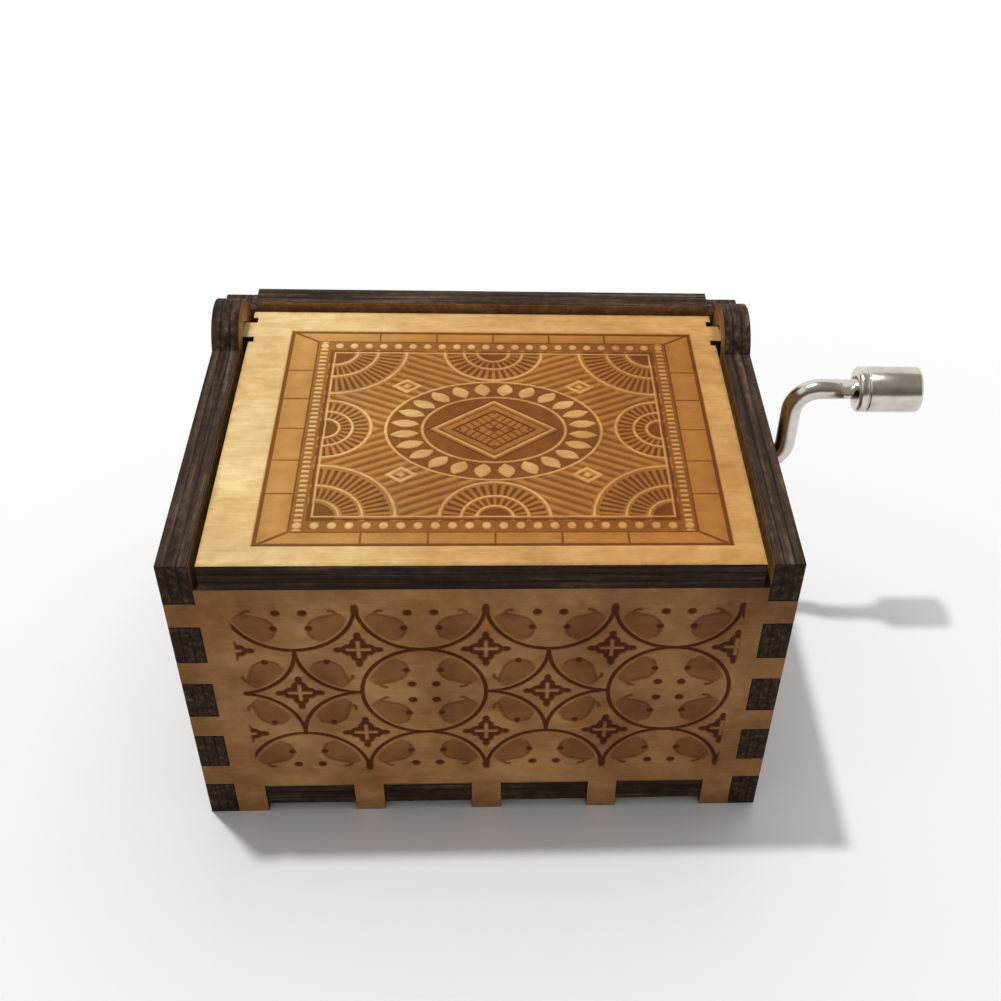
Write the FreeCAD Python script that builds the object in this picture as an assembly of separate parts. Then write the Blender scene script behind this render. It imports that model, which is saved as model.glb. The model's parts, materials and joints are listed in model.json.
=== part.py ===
import FreeCAD, Part
import math
import os

from FreeCAD import Vector

# Small hand-cranked music box: a finger-jointed plywood case with a lid that swings on two
# wooden tabs, and inside it an 18-note movement driven by a bent wire crank.
# Millimetres. X runs to the crank side, Y to the back and Z up. The pieces are drawn about
# the centre of the case, and exported about the middle of the whole object, crank included.

# ---------------------------------------------------------------- driving dimensions

# Case: flat panels of one plywood, jointed at their edges
case_width = 64.0
case_depth = 50.0
side_height = 39.0
ply = 3.2
joint_gap = 0.05
tongue_count = 4
tongue_height = 3.4
bottom_rise = 1.4
notch_headroom = 0.1
bottom_tab_width = 10.0
front_tab_count = 4
side_tab_count = 3
crank_hole_radius = 4.0

# Lid and its hinge
lid_side_gap = 0.7
hinge_setback = 8.0
lid_tail = 4.0
ear_radius = 5.0
hinge_play = 0.08
tab_relief_width = 1.0
tab_relief_depth = 0.6
stop_height = 0.85
stop_side_inset = 0.8

# Movement bedplate, cast in one piece with its comb seat, posts and bosses
bed_thickness = 2.0
bed_corner_radius = 3.0
bed_margin = 1.8
window_clearance = 0.9
post_thickness = 3.0
post_base_half_width = 3.2
post_head_radius = 2.8
post_clearance = 0.4
arbor_post_thickness = 2.4
boss_radius = 2.4
boss_height = 3.0
boss_inset = 3.4
seat_set_back = 1.0
blind_hole_spare = 0.3

# Cylinder, with its pins pressed out of the sleeve
note_count = 18
note_pitch = 1.0
tracks_centre_y = -1.6
arbor_x = 5.0
arbor_height = 8.8
arbor_radius = 1.0
arbor_stick_out = 0.3
sleeve_radius = 6.5
sleeve_wall = 0.6
sleeve_margin = 1.0
cap_thickness = 1.2
collar_radius = 2.0
pin_height = 0.7
pin_length = 0.4
pin_base_width = 0.8
pin_top_width = 0.3
melody_steps = 28
melody_arc = 345.0
bass_notes = 6

# Worm drive
wheel_teeth = 24
gear_module = 0.5
wheel_width = 3.0
wheel_y = 11.0
wheel_hub_radius = 3.0
worm_pitch_radius = 2.4
worm_thread_length = 6.3
thread_steps_per_turn = 18
thread_sink = 0.15
worm_collar_radius = 2.5
worm_collar_length = 1.2
pressure_angle = 20.0
backlash = 0.14
root_clearance = 0.12

# Comb
comb_depth = 22.5
comb_body_thickness = 1.6
tooth_thickness = 0.9
comb_above_arbor = 0.5
tip_clearance = 0.1
slot_width = 0.25
bass_tooth_length = 13.5
treble_tooth_length = 8.5
tip_bevel_length = 1.2
tip_bevel_height = 0.4
tooth_relief_run = 0.6
damped_notes = 11
damper_thickness = 0.15
damper_drop = 1.3
weight_drop = 2.0
weight_drop_step = 0.2
weight_length = 4.2
weight_length_step = 0.35
weight_setback = 0.5

# Crank
wire_radius = 1.25
crank_radius = 11.2
arm_stand_off = 5.9
bend_radius = 3.2
bend_steps = 5
knob_radius = 2.8
knob_length = 7.85
knob_stand_off = 7.45
knob_edge = 0.35
knob_mouth_radius = 1.6
knob_mouth_depth = 0.8
rivet_head_radius = 1.8
rivet_head_height = 0.6
rivet_setback = 0.1
rivet_recess_clearance = 0.16
lobe_half_width = 1.7
lobe_length = 1.6
lobe_stand_off = 0.25
lobe_corner_radius = 0.4
dent_depth = 0.45
dent_run_out = 0.4
clip_thickness = 0.5
clip_radius = 2.4
clip_groove_depth = 0.3
wire_tail = 1.1

# Fasteners
comb_screw_radius = 1.2
comb_screw_head_radius = 2.1
comb_screw_head_height = 1.3
comb_screw_pitch = 9.0
comb_screw_count = 2
comb_screw_edge = 1.2
comb_screw_floor = 4.4
mounting_screw_radius = 1.0
mounting_screw_head_radius = 1.9
mounting_screw_head_height = 0.9
mounting_screw_reach = 3.9
bracket_screw_radius = 0.9
bracket_screw_head_radius = 1.6
bracket_screw_head_height = 1.1

# Bearing bracket, bent from sheet
bracket_thickness = 1.2
bracket_half_width = 3.6
bracket_foot = 4.8

# Clearances
running_clearance = 0.06
fixed_clearance = 0.02
end_float = 0.15
screw_hole_clearance = 0.15
cut_overrun = 0.5

# ---------------------------------------------------------------- sizes that follow

half_width = case_width / 2
half_depth = case_depth / 2
inner_half_width = half_width - ply
inner_half_depth = half_depth - ply
side_finger_height = (side_height - tongue_count * tongue_height) / (tongue_count + 1)
floor_z = bottom_rise + ply

lid_top_z = side_height
lid_bottom_z = side_height - ply
lid_half_width = inner_half_width - lid_side_gap
hinge_y = half_depth - hinge_setback
hinge_z = lid_bottom_z + ply / 2
hinge_hole_radius = ply / 2 * math.sqrt(2) + hinge_play

bed_top_z = floor_z + bed_thickness
arbor_z = bed_top_z + arbor_height
pin_circle_radius = sleeve_radius + pin_height
sleeve_length = note_count * note_pitch + 2 * sleeve_margin
sleeve_front_y = tracks_centre_y - sleeve_length / 2
sleeve_rear_y = tracks_centre_y + sleeve_length / 2

wheel_pitch_radius = wheel_teeth * gear_module / 2
wheel_outer_radius = wheel_pitch_radius + gear_module
wheel_root_radius = wheel_pitch_radius - gear_module - root_clearance
worm_outer_radius = worm_pitch_radius + gear_module
worm_root_radius = worm_pitch_radius - gear_module - root_clearance
worm_lead = math.pi * gear_module
crank_z = arbor_z + wheel_pitch_radius + worm_pitch_radius
wheel_front_y = wheel_y - wheel_width / 2
wheel_rear_y = wheel_y + wheel_width / 2

comb_tip_x = arbor_x - pin_circle_radius - tip_clearance
comb_rear_x = comb_tip_x - comb_depth
comb_top_z = arbor_z + comb_above_arbor
comb_seat_z = comb_top_z - comb_body_thickness
tooth_bottom_z = comb_top_z - tooth_thickness
tooth_width = note_pitch - slot_width
comb_front_y = sleeve_front_y
comb_back_y = sleeve_rear_y

window_half_width = pin_circle_radius + window_clearance
window_front_y = sleeve_front_y - window_clearance
window_rear_y = wheel_rear_y + window_clearance
arbor_post_front_y = window_rear_y + window_clearance
arbor_post_rear_y = arbor_post_front_y + arbor_post_thickness
bracket_rear_y = window_front_y - window_clearance
bracket_front_y = bracket_rear_y - bracket_thickness
post_gap_half = window_half_width + post_clearance
left_post_x = arbor_x - post_gap_half - post_thickness
right_post_x = arbor_x + post_gap_half

bed_left_x = comb_rear_x - bed_margin
bed_right_x = right_post_x + post_thickness + bed_margin
bed_front_y = bracket_rear_y - bracket_foot - bed_margin / 2
bed_rear_y = arbor_post_rear_y + bed_margin
mounting_points = [
    (bed_left_x + boss_inset, bed_rear_y - boss_inset),
    (bed_right_x - boss_inset, bed_front_y + boss_inset),
]

arm_x = half_width + arm_stand_off
knob_inner_x = arm_x + knob_stand_off
knob_outer_x = knob_inner_x + knob_length
knob_z = crank_z + crank_radius
wire_inner_x = left_post_x - end_float - clip_thickness - wire_tail
wire_outer_x = knob_outer_x - rivet_setback
origin_shift = (half_width - knob_outer_x) / 2

UP = Vector(0, 0, 1)
ALONG_X = Vector(1, 0, 0)
ALONG_Y = Vector(0, 1, 0)

# ---------------------------------------------------------------- helpers


def block(x_span, y_span, z_span):
    """Box from its (low, high) span along each axis."""
    corner = Vector(x_span[0], y_span[0], z_span[0])
    size = [span[1] - span[0] for span in (x_span, y_span, z_span)]
    return Part.makeBox(size[0], size[1], size[2], corner)


def rod(radius, start, end):
    """Round bar between two points."""
    return Part.makeCylinder(radius, (end - start).Length, start, end - start)


def prism(points, extrusion):
    """Solid made by extruding a closed polygon of points."""
    return Part.Face(Part.makePolygon(points + points[:1])).extrude(extrusion)


def turned(profile, base, axis):
    """Solid turned about axis through base, from (along, radius) points."""
    side = axis.cross(UP)
    if side.Length < 0.5:
        side = ALONG_X
    points = [base + axis * along + side * radius for along, radius in profile]
    face = Part.Face(Part.makePolygon(points + points[:1]))
    return face.revolve(base, axis, 360)


def evenly_spaced(count, pitch, centre=0.0):
    """Positions of a centred row."""
    return [centre + (i - (count - 1) / 2) * pitch for i in range(count)]


def tab_spans(count, span):
    """(low, high) of each bottom-panel tab along one wall, with equal feet between them."""
    foot = (span - count * bottom_tab_width) / (count + 1)
    spans = []
    for centre in evenly_spaced(count, bottom_tab_width + foot):
        spans.append((centre - bottom_tab_width / 2, centre + bottom_tab_width / 2))
    return spans


def tongue_spans():
    """(low, high) in Z of each tongue that runs through a side panel."""
    pitch = side_finger_height + tongue_height
    lows = [side_finger_height + i * pitch for i in range(tongue_count)]
    return [(low, low + tongue_height) for low in lows]


def widened(span, gap):
    return (span[0] - gap, span[1] + gap)


# ---------------------------------------------------------------- case


def end_panel(y_span, top_z):
    """Front or back wall: tongues through the side panels, feet and notches below."""
    body = block((-inner_half_width, inner_half_width), y_span, (0, top_z))
    tongues = []
    for z_span in tongue_spans():
        tongues.append(block((-half_width, half_width), y_span, widened(z_span, -joint_gap)))
    notches = []
    for x_span in tab_spans(front_tab_count, 2 * inner_half_width):
        notches.append(block(widened(x_span, joint_gap), y_span, (0, floor_z + notch_headroom)))
    return body.fuse(tongues).cut(notches).removeSplitter()


def front_panel():
    return end_panel((-half_depth, -inner_half_depth), lid_bottom_z)


def back_panel():
    y_span = (inner_half_depth, half_depth)
    stop_half_width = inner_half_width - stop_side_inset
    panel = end_panel(y_span, side_height)
    stop = block((-stop_half_width, stop_half_width), y_span, (side_height, lid_top_z + stop_height))
    return panel.fuse(stop).removeSplitter()


def side_panel(x_span):
    """Side wall with slots for the tongues and a round ear that carries the lid."""
    body = block(x_span, (-half_depth, half_depth), (0, side_height))
    ear_start = Vector(x_span[0], hinge_y, hinge_z)
    ear_end = Vector(x_span[1], hinge_y, hinge_z)
    body = body.fuse(rod(ear_radius, ear_start, ear_end))
    cuts = [rod(hinge_hole_radius, ear_start, ear_end)]
    for z_span in tongue_spans():
        cuts.append(block(x_span, (-half_depth, -inner_half_depth), z_span))
        cuts.append(block(x_span, (inner_half_depth, half_depth), z_span))
    for y_span in tab_spans(side_tab_count, 2 * inner_half_depth):
        cuts.append(block(x_span, widened(y_span, joint_gap), (0, floor_z + notch_headroom)))
    return body.cut(cuts).removeSplitter()


def left_panel():
    return side_panel((-half_width, -inner_half_width))


def right_panel():
    x_span = (inner_half_width, half_width)
    start = Vector(x_span[0], wheel_y, crank_z)
    end = Vector(x_span[1], wheel_y, crank_z)
    return side_panel(x_span).cut(rod(crank_hole_radius, start, end))


def bottom_panel():
    """Floor of the case, with a tab into every notch and the movement's screw holes."""
    z_span = (bottom_rise, floor_z)
    body = block((-inner_half_width, inner_half_width), (-inner_half_depth, inner_half_depth), z_span)
    tabs = []
    for x_span in tab_spans(front_tab_count, 2 * inner_half_width):
        tabs.append(block(x_span, (-half_depth, half_depth), z_span))
    for y_span in tab_spans(side_tab_count, 2 * inner_half_depth):
        tabs.append(block((-half_width, half_width), y_span, z_span))
    holes = []
    for x, y in mounting_points:
        hole_radius = mounting_screw_radius + screw_hole_clearance
        holes.append(rod(hole_radius, Vector(x, y, bottom_rise), Vector(x, y, floor_z)))
    return body.fuse(tabs).cut(holes).removeSplitter()


def lid():
    """Flat lid, cut in one piece with the two square tabs it turns on."""
    z_span = (lid_bottom_z, lid_top_z)
    body = block((-lid_half_width, lid_half_width), (-half_depth, hinge_y + lid_tail), z_span)
    tab_span = (hinge_y - ply / 2, hinge_y + ply / 2)
    tabs = block((-half_width, half_width), tab_span, z_span)
    reliefs = []
    for side in (-1, 1):
        edge = sorted((side * (lid_half_width - tab_relief_depth), side * lid_half_width))
        front = (tab_span[0] - tab_relief_width, tab_span[0])
        rear = (tab_span[1], tab_span[1] + tab_relief_width)
        reliefs.append(block(edge, front, z_span))
        reliefs.append(block(edge, rear, z_span))
    return body.cut(reliefs).fuse(tabs).removeSplitter()


# ---------------------------------------------------------------- movement frame


def comb_root_x(y):
    """X where the slots end, on the slanting line from bass to treble."""
    share = (y - comb_front_y) / (comb_back_y - comb_front_y)
    length = bass_tooth_length + share * (treble_tooth_length - bass_tooth_length)
    return comb_tip_x - length


def comb_seat():
    """Raised block under the comb's body, its front edge parallel with the tooth roots."""
    outline = [
        Vector(comb_rear_x, comb_front_y, floor_z),
        Vector(comb_root_x(comb_front_y) - seat_set_back, comb_front_y, floor_z),
        Vector(comb_root_x(comb_back_y) - seat_set_back, comb_back_y, floor_z),
        Vector(comb_rear_x, comb_back_y, floor_z),
    ]
    return prism(outline, Vector(0, 0, comb_seat_z - floor_z))


def upright(centre, across, thickness_vector, base_half_width, head_radius):
    """Tapered post from the bedplate up to a round head about centre."""
    foot = Vector(centre.x, centre.y, floor_z)
    outline = [
        foot - across * base_half_width,
        foot + across * base_half_width,
        centre + across * head_radius,
        centre - across * head_radius,
    ]
    head = rod(head_radius, centre, centre + thickness_vector)
    return prism(outline, thickness_vector).fuse(head)


def movement_bedplate():
    """Cast bed: comb seat, two posts for the crank, one for the arbor, and screw bosses."""
    bed = block((bed_left_x, bed_right_x), (bed_front_y, bed_rear_y), (floor_z, bed_top_z))
    corners = [edge for edge in bed.Edges if abs(edge.tangentAt(edge.FirstParameter).z) > 0.9]
    bed = bed.makeFillet(bed_corner_radius, corners)
    additions = [comb_seat()]
    for x in (left_post_x, right_post_x):
        centre = Vector(x, wheel_y, crank_z)
        additions.append(
            upright(centre, ALONG_Y, ALONG_X * post_thickness, post_base_half_width, post_head_radius)
        )
    arbor_end = Vector(arbor_x, arbor_post_front_y, arbor_z)
    additions.append(
        upright(arbor_end, ALONG_X, ALONG_Y * arbor_post_thickness, post_base_half_width, post_head_radius)
    )
    for x, y in mounting_points:
        additions.append(rod(boss_radius, Vector(x, y, floor_z), Vector(x, y, bed_top_z + boss_height)))
    window_x = (arbor_x - window_half_width, arbor_x + window_half_width)
    cuts = [block(window_x, (window_front_y, window_rear_y), (floor_z, bed_top_z))]
    shaft_hole_radius = wire_radius + running_clearance
    shaft_start = Vector(left_post_x, wheel_y, crank_z)
    cuts.append(rod(shaft_hole_radius, shaft_start, Vector(bed_right_x, wheel_y, crank_z)))
    arbor_hole_end = Vector(arbor_x, arbor_post_rear_y, arbor_z)
    cuts.append(rod(arbor_radius + running_clearance, arbor_end, arbor_hole_end))
    for x, y in mounting_points:
        top = floor_z + mounting_screw_reach + blind_hole_spare
        cuts.append(rod(mounting_screw_radius + fixed_clearance, Vector(x, y, floor_z), Vector(x, y, top)))
    for y in comb_screw_ys():
        bottom = comb_seat_z - comb_screw_depth() - blind_hole_spare
        hole = rod(comb_screw_radius + fixed_clearance, Vector(comb_screw_x(), y, bottom),
                   Vector(comb_screw_x(), y, comb_seat_z))
        cuts.append(hole)
    foot = bracket_screw_place()
    cuts.append(rod(bracket_screw_radius + fixed_clearance, Vector(foot.x, foot.y, floor_z), foot))
    return bed.fuse(additions).cut(cuts).removeSplitter()


def bracket_screw_place():
    """Centre of the bracket's foot, on the bedplate's top face."""
    return Vector(arbor_x, bracket_front_y - (bracket_foot - bracket_thickness) / 2, bed_top_z)


def cylinder_bearing_bracket():
    """Bent sheet bracket that closes the bedplate round the arbor's front end."""
    across = (arbor_x - bracket_half_width, arbor_x + bracket_half_width)
    foot_y = (bracket_rear_y - bracket_foot, bracket_rear_y)
    foot = block(across, foot_y, (bed_top_z, bed_top_z + bracket_thickness))
    wall = block(across, (bracket_front_y, bracket_rear_y), (bed_top_z, arbor_z))
    centre = Vector(arbor_x, bracket_front_y, arbor_z)
    rear = Vector(arbor_x, bracket_rear_y, arbor_z)
    body = foot.fuse([wall, rod(bracket_half_width, centre, rear)])
    place = bracket_screw_place()
    hole = rod(bracket_screw_radius + screw_hole_clearance, place, place + UP * bracket_thickness)
    bore = rod(arbor_radius + running_clearance, centre, rear)
    return body.cut([hole, bore]).removeSplitter()


def cheese_head_screw(place, up, head_radius, head_height, shank_radius, shank_length):
    """Screw seated on place, its head on the up side and its shank on the other."""
    head = Part.makeCylinder(head_radius, head_height, place, up)
    shank = Part.makeCylinder(shank_radius, shank_length, place, up * -1)
    return head.fuse(shank)


def bracket_screw():
    place = bracket_screw_place() + UP * bracket_thickness
    shank = bracket_thickness + bed_thickness
    return cheese_head_screw(place, UP, bracket_screw_head_radius, bracket_screw_head_height,
                             bracket_screw_radius, shank)


def mounting_screws():
    """Screws up through the case floor into the bedplate's bosses."""
    screws = []
    for x, y in mounting_points:
        place = Vector(x, y, bottom_rise)
        shank = ply + mounting_screw_reach
        screws.append(cheese_head_screw(place, UP * -1, mounting_screw_head_radius,
                                        mounting_screw_head_height, mounting_screw_radius, shank))
    return Part.makeCompound(screws)


# ---------------------------------------------------------------- comb


def note_ys():
    """Y of each comb tooth, bass first."""
    return evenly_spaced(note_count, note_pitch, tracks_centre_y)


def comb_screw_x():
    return comb_rear_x + comb_screw_head_radius + comb_screw_edge


def comb_screw_ys():
    return evenly_spaced(comb_screw_count, comb_screw_pitch, tracks_centre_y)


def comb_screw_depth():
    """How far a comb screw reaches into the seat."""
    return comb_seat_z - floor_z - comb_screw_floor


def comb():
    """Steel comb: graded teeth, relieved below and bevelled at the tips, on a thick body."""
    body = block((comb_rear_x, comb_tip_x), (comb_front_y, comb_back_y), (comb_seat_z, comb_top_z))
    tooth_span = (tracks_centre_y - note_count * note_pitch / 2 + slot_width / 2,
                  tracks_centre_y + note_count * note_pitch / 2 - slot_width / 2)
    past_tip = comb_tip_x + cut_overrun
    cuts = []
    for y_span in ((comb_front_y, tooth_span[0]), (tooth_span[1], comb_back_y)):
        root = max(comb_root_x(y_span[0]), comb_root_x(y_span[1]))
        cuts.append(block((root, past_tip), y_span, (comb_seat_z, comb_top_z)))
    for y in evenly_spaced(note_count - 1, note_pitch, tracks_centre_y):
        slot_y = (y - slot_width / 2, y + slot_width / 2)
        cuts.append(block((comb_root_x(y), past_tip), slot_y, (comb_seat_z, comb_top_z)))
    relief = [
        Vector(comb_root_x(comb_front_y) - tooth_relief_run, comb_front_y, comb_seat_z),
        Vector(past_tip, comb_front_y, comb_seat_z),
        Vector(past_tip, comb_back_y, comb_seat_z),
        Vector(comb_root_x(comb_back_y) - tooth_relief_run, comb_back_y, comb_seat_z),
    ]
    cuts.append(prism(relief, Vector(0, 0, tooth_bottom_z - comb_seat_z)))
    bevel = [
        Vector(comb_tip_x - tip_bevel_length, comb_front_y, tooth_bottom_z),
        Vector(past_tip, comb_front_y, tooth_bottom_z),
        Vector(past_tip, comb_front_y, tooth_bottom_z + tip_bevel_height),
        Vector(comb_tip_x, comb_front_y, tooth_bottom_z + tip_bevel_height),
    ]
    cuts.append(prism(bevel, Vector(0, comb_back_y - comb_front_y, 0)))
    for y in comb_screw_ys():
        start = Vector(comb_screw_x(), y, comb_seat_z)
        hole = rod(comb_screw_radius + screw_hole_clearance, start, start + UP * comb_body_thickness)
        cuts.append(hole)
    return body.cut(cuts).removeSplitter()


def comb_screws():
    screws = []
    for y in comb_screw_ys():
        place = Vector(comb_screw_x(), y, comb_top_z)
        shank = comb_body_thickness + comb_screw_depth()
        screws.append(cheese_head_screw(place, UP, comb_screw_head_radius, comb_screw_head_height,
                                        comb_screw_radius, shank))
    return Part.makeCompound(screws)


def comb_bass_weights():
    """Lead slugs under the longest teeth, smaller from note to note."""
    weights = []
    rear_of_damper = comb_tip_x - tip_bevel_length - damper_thickness
    for i, y in enumerate(note_ys()[:bass_notes]):
        drop = weight_drop - weight_drop_step * i
        length = weight_length - weight_length_step * i
        front = rear_of_damper - weight_setback
        weights.append(block((front - length, front), (y - tooth_width / 2, y + tooth_width / 2),
                             (tooth_bottom_z - drop, tooth_bottom_z)))
    return Part.makeCompound(weights)


def comb_dampers():
    """Thin leaves hanging under the tips that quiet a tooth before a pin meets it."""
    leaves = []
    front = comb_tip_x - tip_bevel_length
    for y in note_ys()[:damped_notes]:
        leaves.append(block((front - damper_thickness, front), (y - slot_width, y + slot_width),
                            (tooth_bottom_z - damper_drop, tooth_bottom_z)))
    return Part.makeCompound(leaves)


# ---------------------------------------------------------------- cylinder


def pin_places():
    """(step, note) of every pin: one melody note a step, over a bass note on every other."""
    high_notes = note_count - bass_notes
    places = []
    for step in range(melody_steps):
        places.append((step, bass_notes + (5 * step + step * step // 7) % high_notes))
        if step % 2 == 0:
            places.append((step, (step // 2 + step // 8) % bass_notes))
    return places


def sleeve_pin(step, y):
    """One pressed pin, a blunt wedge as seen along the sleeve."""
    inside = sleeve_radius - sleeve_wall / 2
    outline = [
        Vector(arbor_x + inside, y - pin_length / 2, arbor_z - pin_base_width / 2),
        Vector(arbor_x + pin_circle_radius, y - pin_length / 2, arbor_z - pin_top_width / 2),
        Vector(arbor_x + pin_circle_radius, y - pin_length / 2, arbor_z + pin_top_width / 2),
        Vector(arbor_x + inside, y - pin_length / 2, arbor_z + pin_base_width / 2),
    ]
    pin = prism(outline, ALONG_Y * pin_length)
    pin.rotate(Vector(arbor_x, 0, arbor_z), ALONG_Y, step * melody_arc / melody_steps)
    return pin


def cylinder_sleeve():
    """Brass tube with its pins standing out of the wall."""
    start = Vector(arbor_x, sleeve_front_y, arbor_z)
    end = Vector(arbor_x, sleeve_rear_y, arbor_z)
    tube = rod(sleeve_radius, start, end).cut(rod(sleeve_radius - sleeve_wall, start, end))
    ys = note_ys()
    pins = [sleeve_pin(step, ys[note]) for step, note in pin_places()]
    return tube.fuse(pins)


def end_cap(outer_y, inward, collar):
    """Disc pressed into one end of the sleeve, with a collar of its own on the outside."""
    radius = sleeve_radius - sleeve_wall - fixed_clearance
    bore = arbor_radius + fixed_clearance
    profile = [
        (-collar, bore),
        (-collar, collar_radius),
        (0, collar_radius),
        (0, radius),
        (cap_thickness, radius),
        (cap_thickness, bore),
    ]
    if collar == 0:
        profile = [(0, bore), (0, radius), (cap_thickness, radius), (cap_thickness, bore)]
    return turned(profile, Vector(arbor_x, outer_y, arbor_z), inward)


def cylinder_front_cap():
    collar = sleeve_front_y - bracket_rear_y - end_float
    return end_cap(sleeve_front_y, ALONG_Y, collar)


def cylinder_rear_cap():
    return end_cap(sleeve_rear_y, ALONG_Y * -1, 0)


def cylinder_arbor():
    """Steel axle of the cylinder, through the bracket and the bedplate's post."""
    start = Vector(arbor_x, bracket_front_y - arbor_stick_out, arbor_z)
    end = Vector(arbor_x, arbor_post_rear_y + arbor_stick_out, arbor_z)
    return rod(arbor_radius, start, end)


# ---------------------------------------------------------------- worm drive


def involute_half_angle(radius):
    """Half the angle that one wheel tooth fills at a radius."""
    base_radius = wheel_pitch_radius * math.cos(math.radians(pressure_angle))
    at_pitch = (math.pi * gear_module - backlash) / 4 / wheel_pitch_radius

    def involute(r):
        slope = math.acos(min(1.0, base_radius / r))
        return math.tan(slope) - slope

    return at_pitch + involute(wheel_pitch_radius) - involute(max(radius, base_radius))


def wheel_outline(turn, y):
    """Closed wire round the wheel's teeth at one place along its axis, turned by an angle."""
    radii = [wheel_root_radius, wheel_pitch_radius, wheel_outer_radius]
    points = []
    for tooth in range(wheel_teeth):
        middle = turn + (tooth + 0.5) * 2 * math.pi / wheel_teeth
        flank = [(radius, middle - involute_half_angle(radius)) for radius in radii]
        flank += [(radius, middle + involute_half_angle(radius)) for radius in reversed(radii)]
        for radius, angle in flank:
            points.append(Vector(arbor_x + radius * math.sin(angle), y, arbor_z + radius * math.cos(angle)))
    return Part.makePolygon(points + points[:1])


def worm_wheel():
    """Wheel whose teeth lean to the worm's lead angle, on a hub with a bore."""
    lean = worm_lead / (2 * math.pi * worm_pitch_radius)
    turn = wheel_width / 2 * lean / wheel_pitch_radius
    outlines = [wheel_outline(-turn, wheel_front_y), wheel_outline(turn, wheel_rear_y)]
    rim = Part.makeLoft(outlines, True, True)
    centre = Vector(arbor_x, 0, arbor_z)
    hub_front = centre + ALONG_Y * sleeve_rear_y
    hub_rear = centre + ALONG_Y * (arbor_post_front_y - end_float)
    hub = rod(wheel_hub_radius, hub_front, centre + ALONG_Y * wheel_rear_y)
    collar = rod(collar_radius, hub_front, hub_rear)
    bore = rod(arbor_radius + fixed_clearance, hub_front, hub_rear)
    return rim.fuse([hub, collar]).cut(bore).removeSplitter()


def thread_section(step):
    """Thread's cross-section at one step round the helix. Step 0 points down at the wheel."""
    half_pitch_width = (worm_lead - backlash) / 4
    slope = math.tan(math.radians(pressure_angle))
    inside = worm_root_radius - thread_sink
    root_half = half_pitch_width + (worm_pitch_radius - inside) * slope
    tip_half = half_pitch_width - gear_module * slope
    angle = 2 * math.pi * step / thread_steps_per_turn
    middle = arbor_x + worm_lead * step / thread_steps_per_turn
    points = []
    for radius, along in ((inside, -root_half), (worm_outer_radius, -tip_half),
                          (worm_outer_radius, tip_half), (inside, root_half)):
        points.append(Vector(middle + along, wheel_y + radius * math.sin(angle),
                             crank_z - radius * math.cos(angle)))
    return points


def polygon_face(points):
    return Part.Face(Part.makePolygon(points + points[:1]))


def facets_between(section, following):
    """Flat three-cornered faces that join two matching sections."""
    facets = []
    for i in range(len(section)):
        j = (i + 1) % len(section)
        facets.append(polygon_face([section[i], section[j], following[j]]))
        facets.append(polygon_face([section[i], following[j], following[i]]))
    return facets


def worm_thread():
    """Right-hand thread in flat steps round the helix, so that its facets stay few."""
    reach = round(worm_thread_length / worm_lead / 2 * thread_steps_per_turn)
    sections = [thread_section(step) for step in range(-reach, reach + 1)]
    facets = [polygon_face(sections[0]), polygon_face(sections[-1])]
    for section, following in zip(sections, sections[1:]):
        facets += facets_between(section, following)
    thread = Part.makeSolid(Part.makeShell(facets))
    if thread.Volume < 0:
        thread.reverse()
    return thread


def worm_core(left, right):
    """Bar under the thread, with a flat for each step of the helix."""
    corners = []
    for step in range(thread_steps_per_turn):
        angle = 2 * math.pi * step / thread_steps_per_turn
        corners.append(Vector(left, wheel_y + worm_root_radius * math.sin(angle),
                              crank_z - worm_root_radius * math.cos(angle)))
    return prism(corners, ALONG_X * (right - left))


def crank_worm():
    """Worm on the crank wire, filling the space between the bedplate's two posts."""
    left = left_post_x + post_thickness + end_float
    right = right_post_x - end_float

    def on_shaft(x):
        return Vector(x, wheel_y, crank_z)

    collars = [
        rod(worm_collar_radius, on_shaft(left), on_shaft(left + worm_collar_length)),
        rod(worm_collar_radius, on_shaft(right - worm_collar_length), on_shaft(right)),
    ]
    bore = rod(wire_radius + fixed_clearance, on_shaft(left), on_shaft(right))
    return worm_core(left, right).fuse([worm_thread()] + collars).cut(bore).removeSplitter()


# ---------------------------------------------------------------- crank


def wire_bend(centre, start_angle, turn):
    """Points round one bend, from its start angle in the plane of the crank."""
    points = []
    for step in range(bend_steps + 1):
        angle = math.radians(start_angle + turn * step / bend_steps)
        points.append(centre + Vector(math.cos(angle), 0, math.sin(angle)) * bend_radius)
    return points


def wire_path():
    """Centre line of the bent wire: shaft, bend, arm, bend and knob spindle."""
    low_centre = Vector(arm_x - bend_radius, wheel_y, crank_z + bend_radius)
    high_centre = Vector(arm_x + bend_radius, wheel_y, knob_z - bend_radius)
    points = [Vector(wire_inner_x, wheel_y, crank_z)]
    points += wire_bend(low_centre, -90, 90)
    points += wire_bend(high_centre, 180, -90)
    points.append(Vector(wire_outer_x, wheel_y, knob_z))
    return Part.makePolygon(points)


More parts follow.
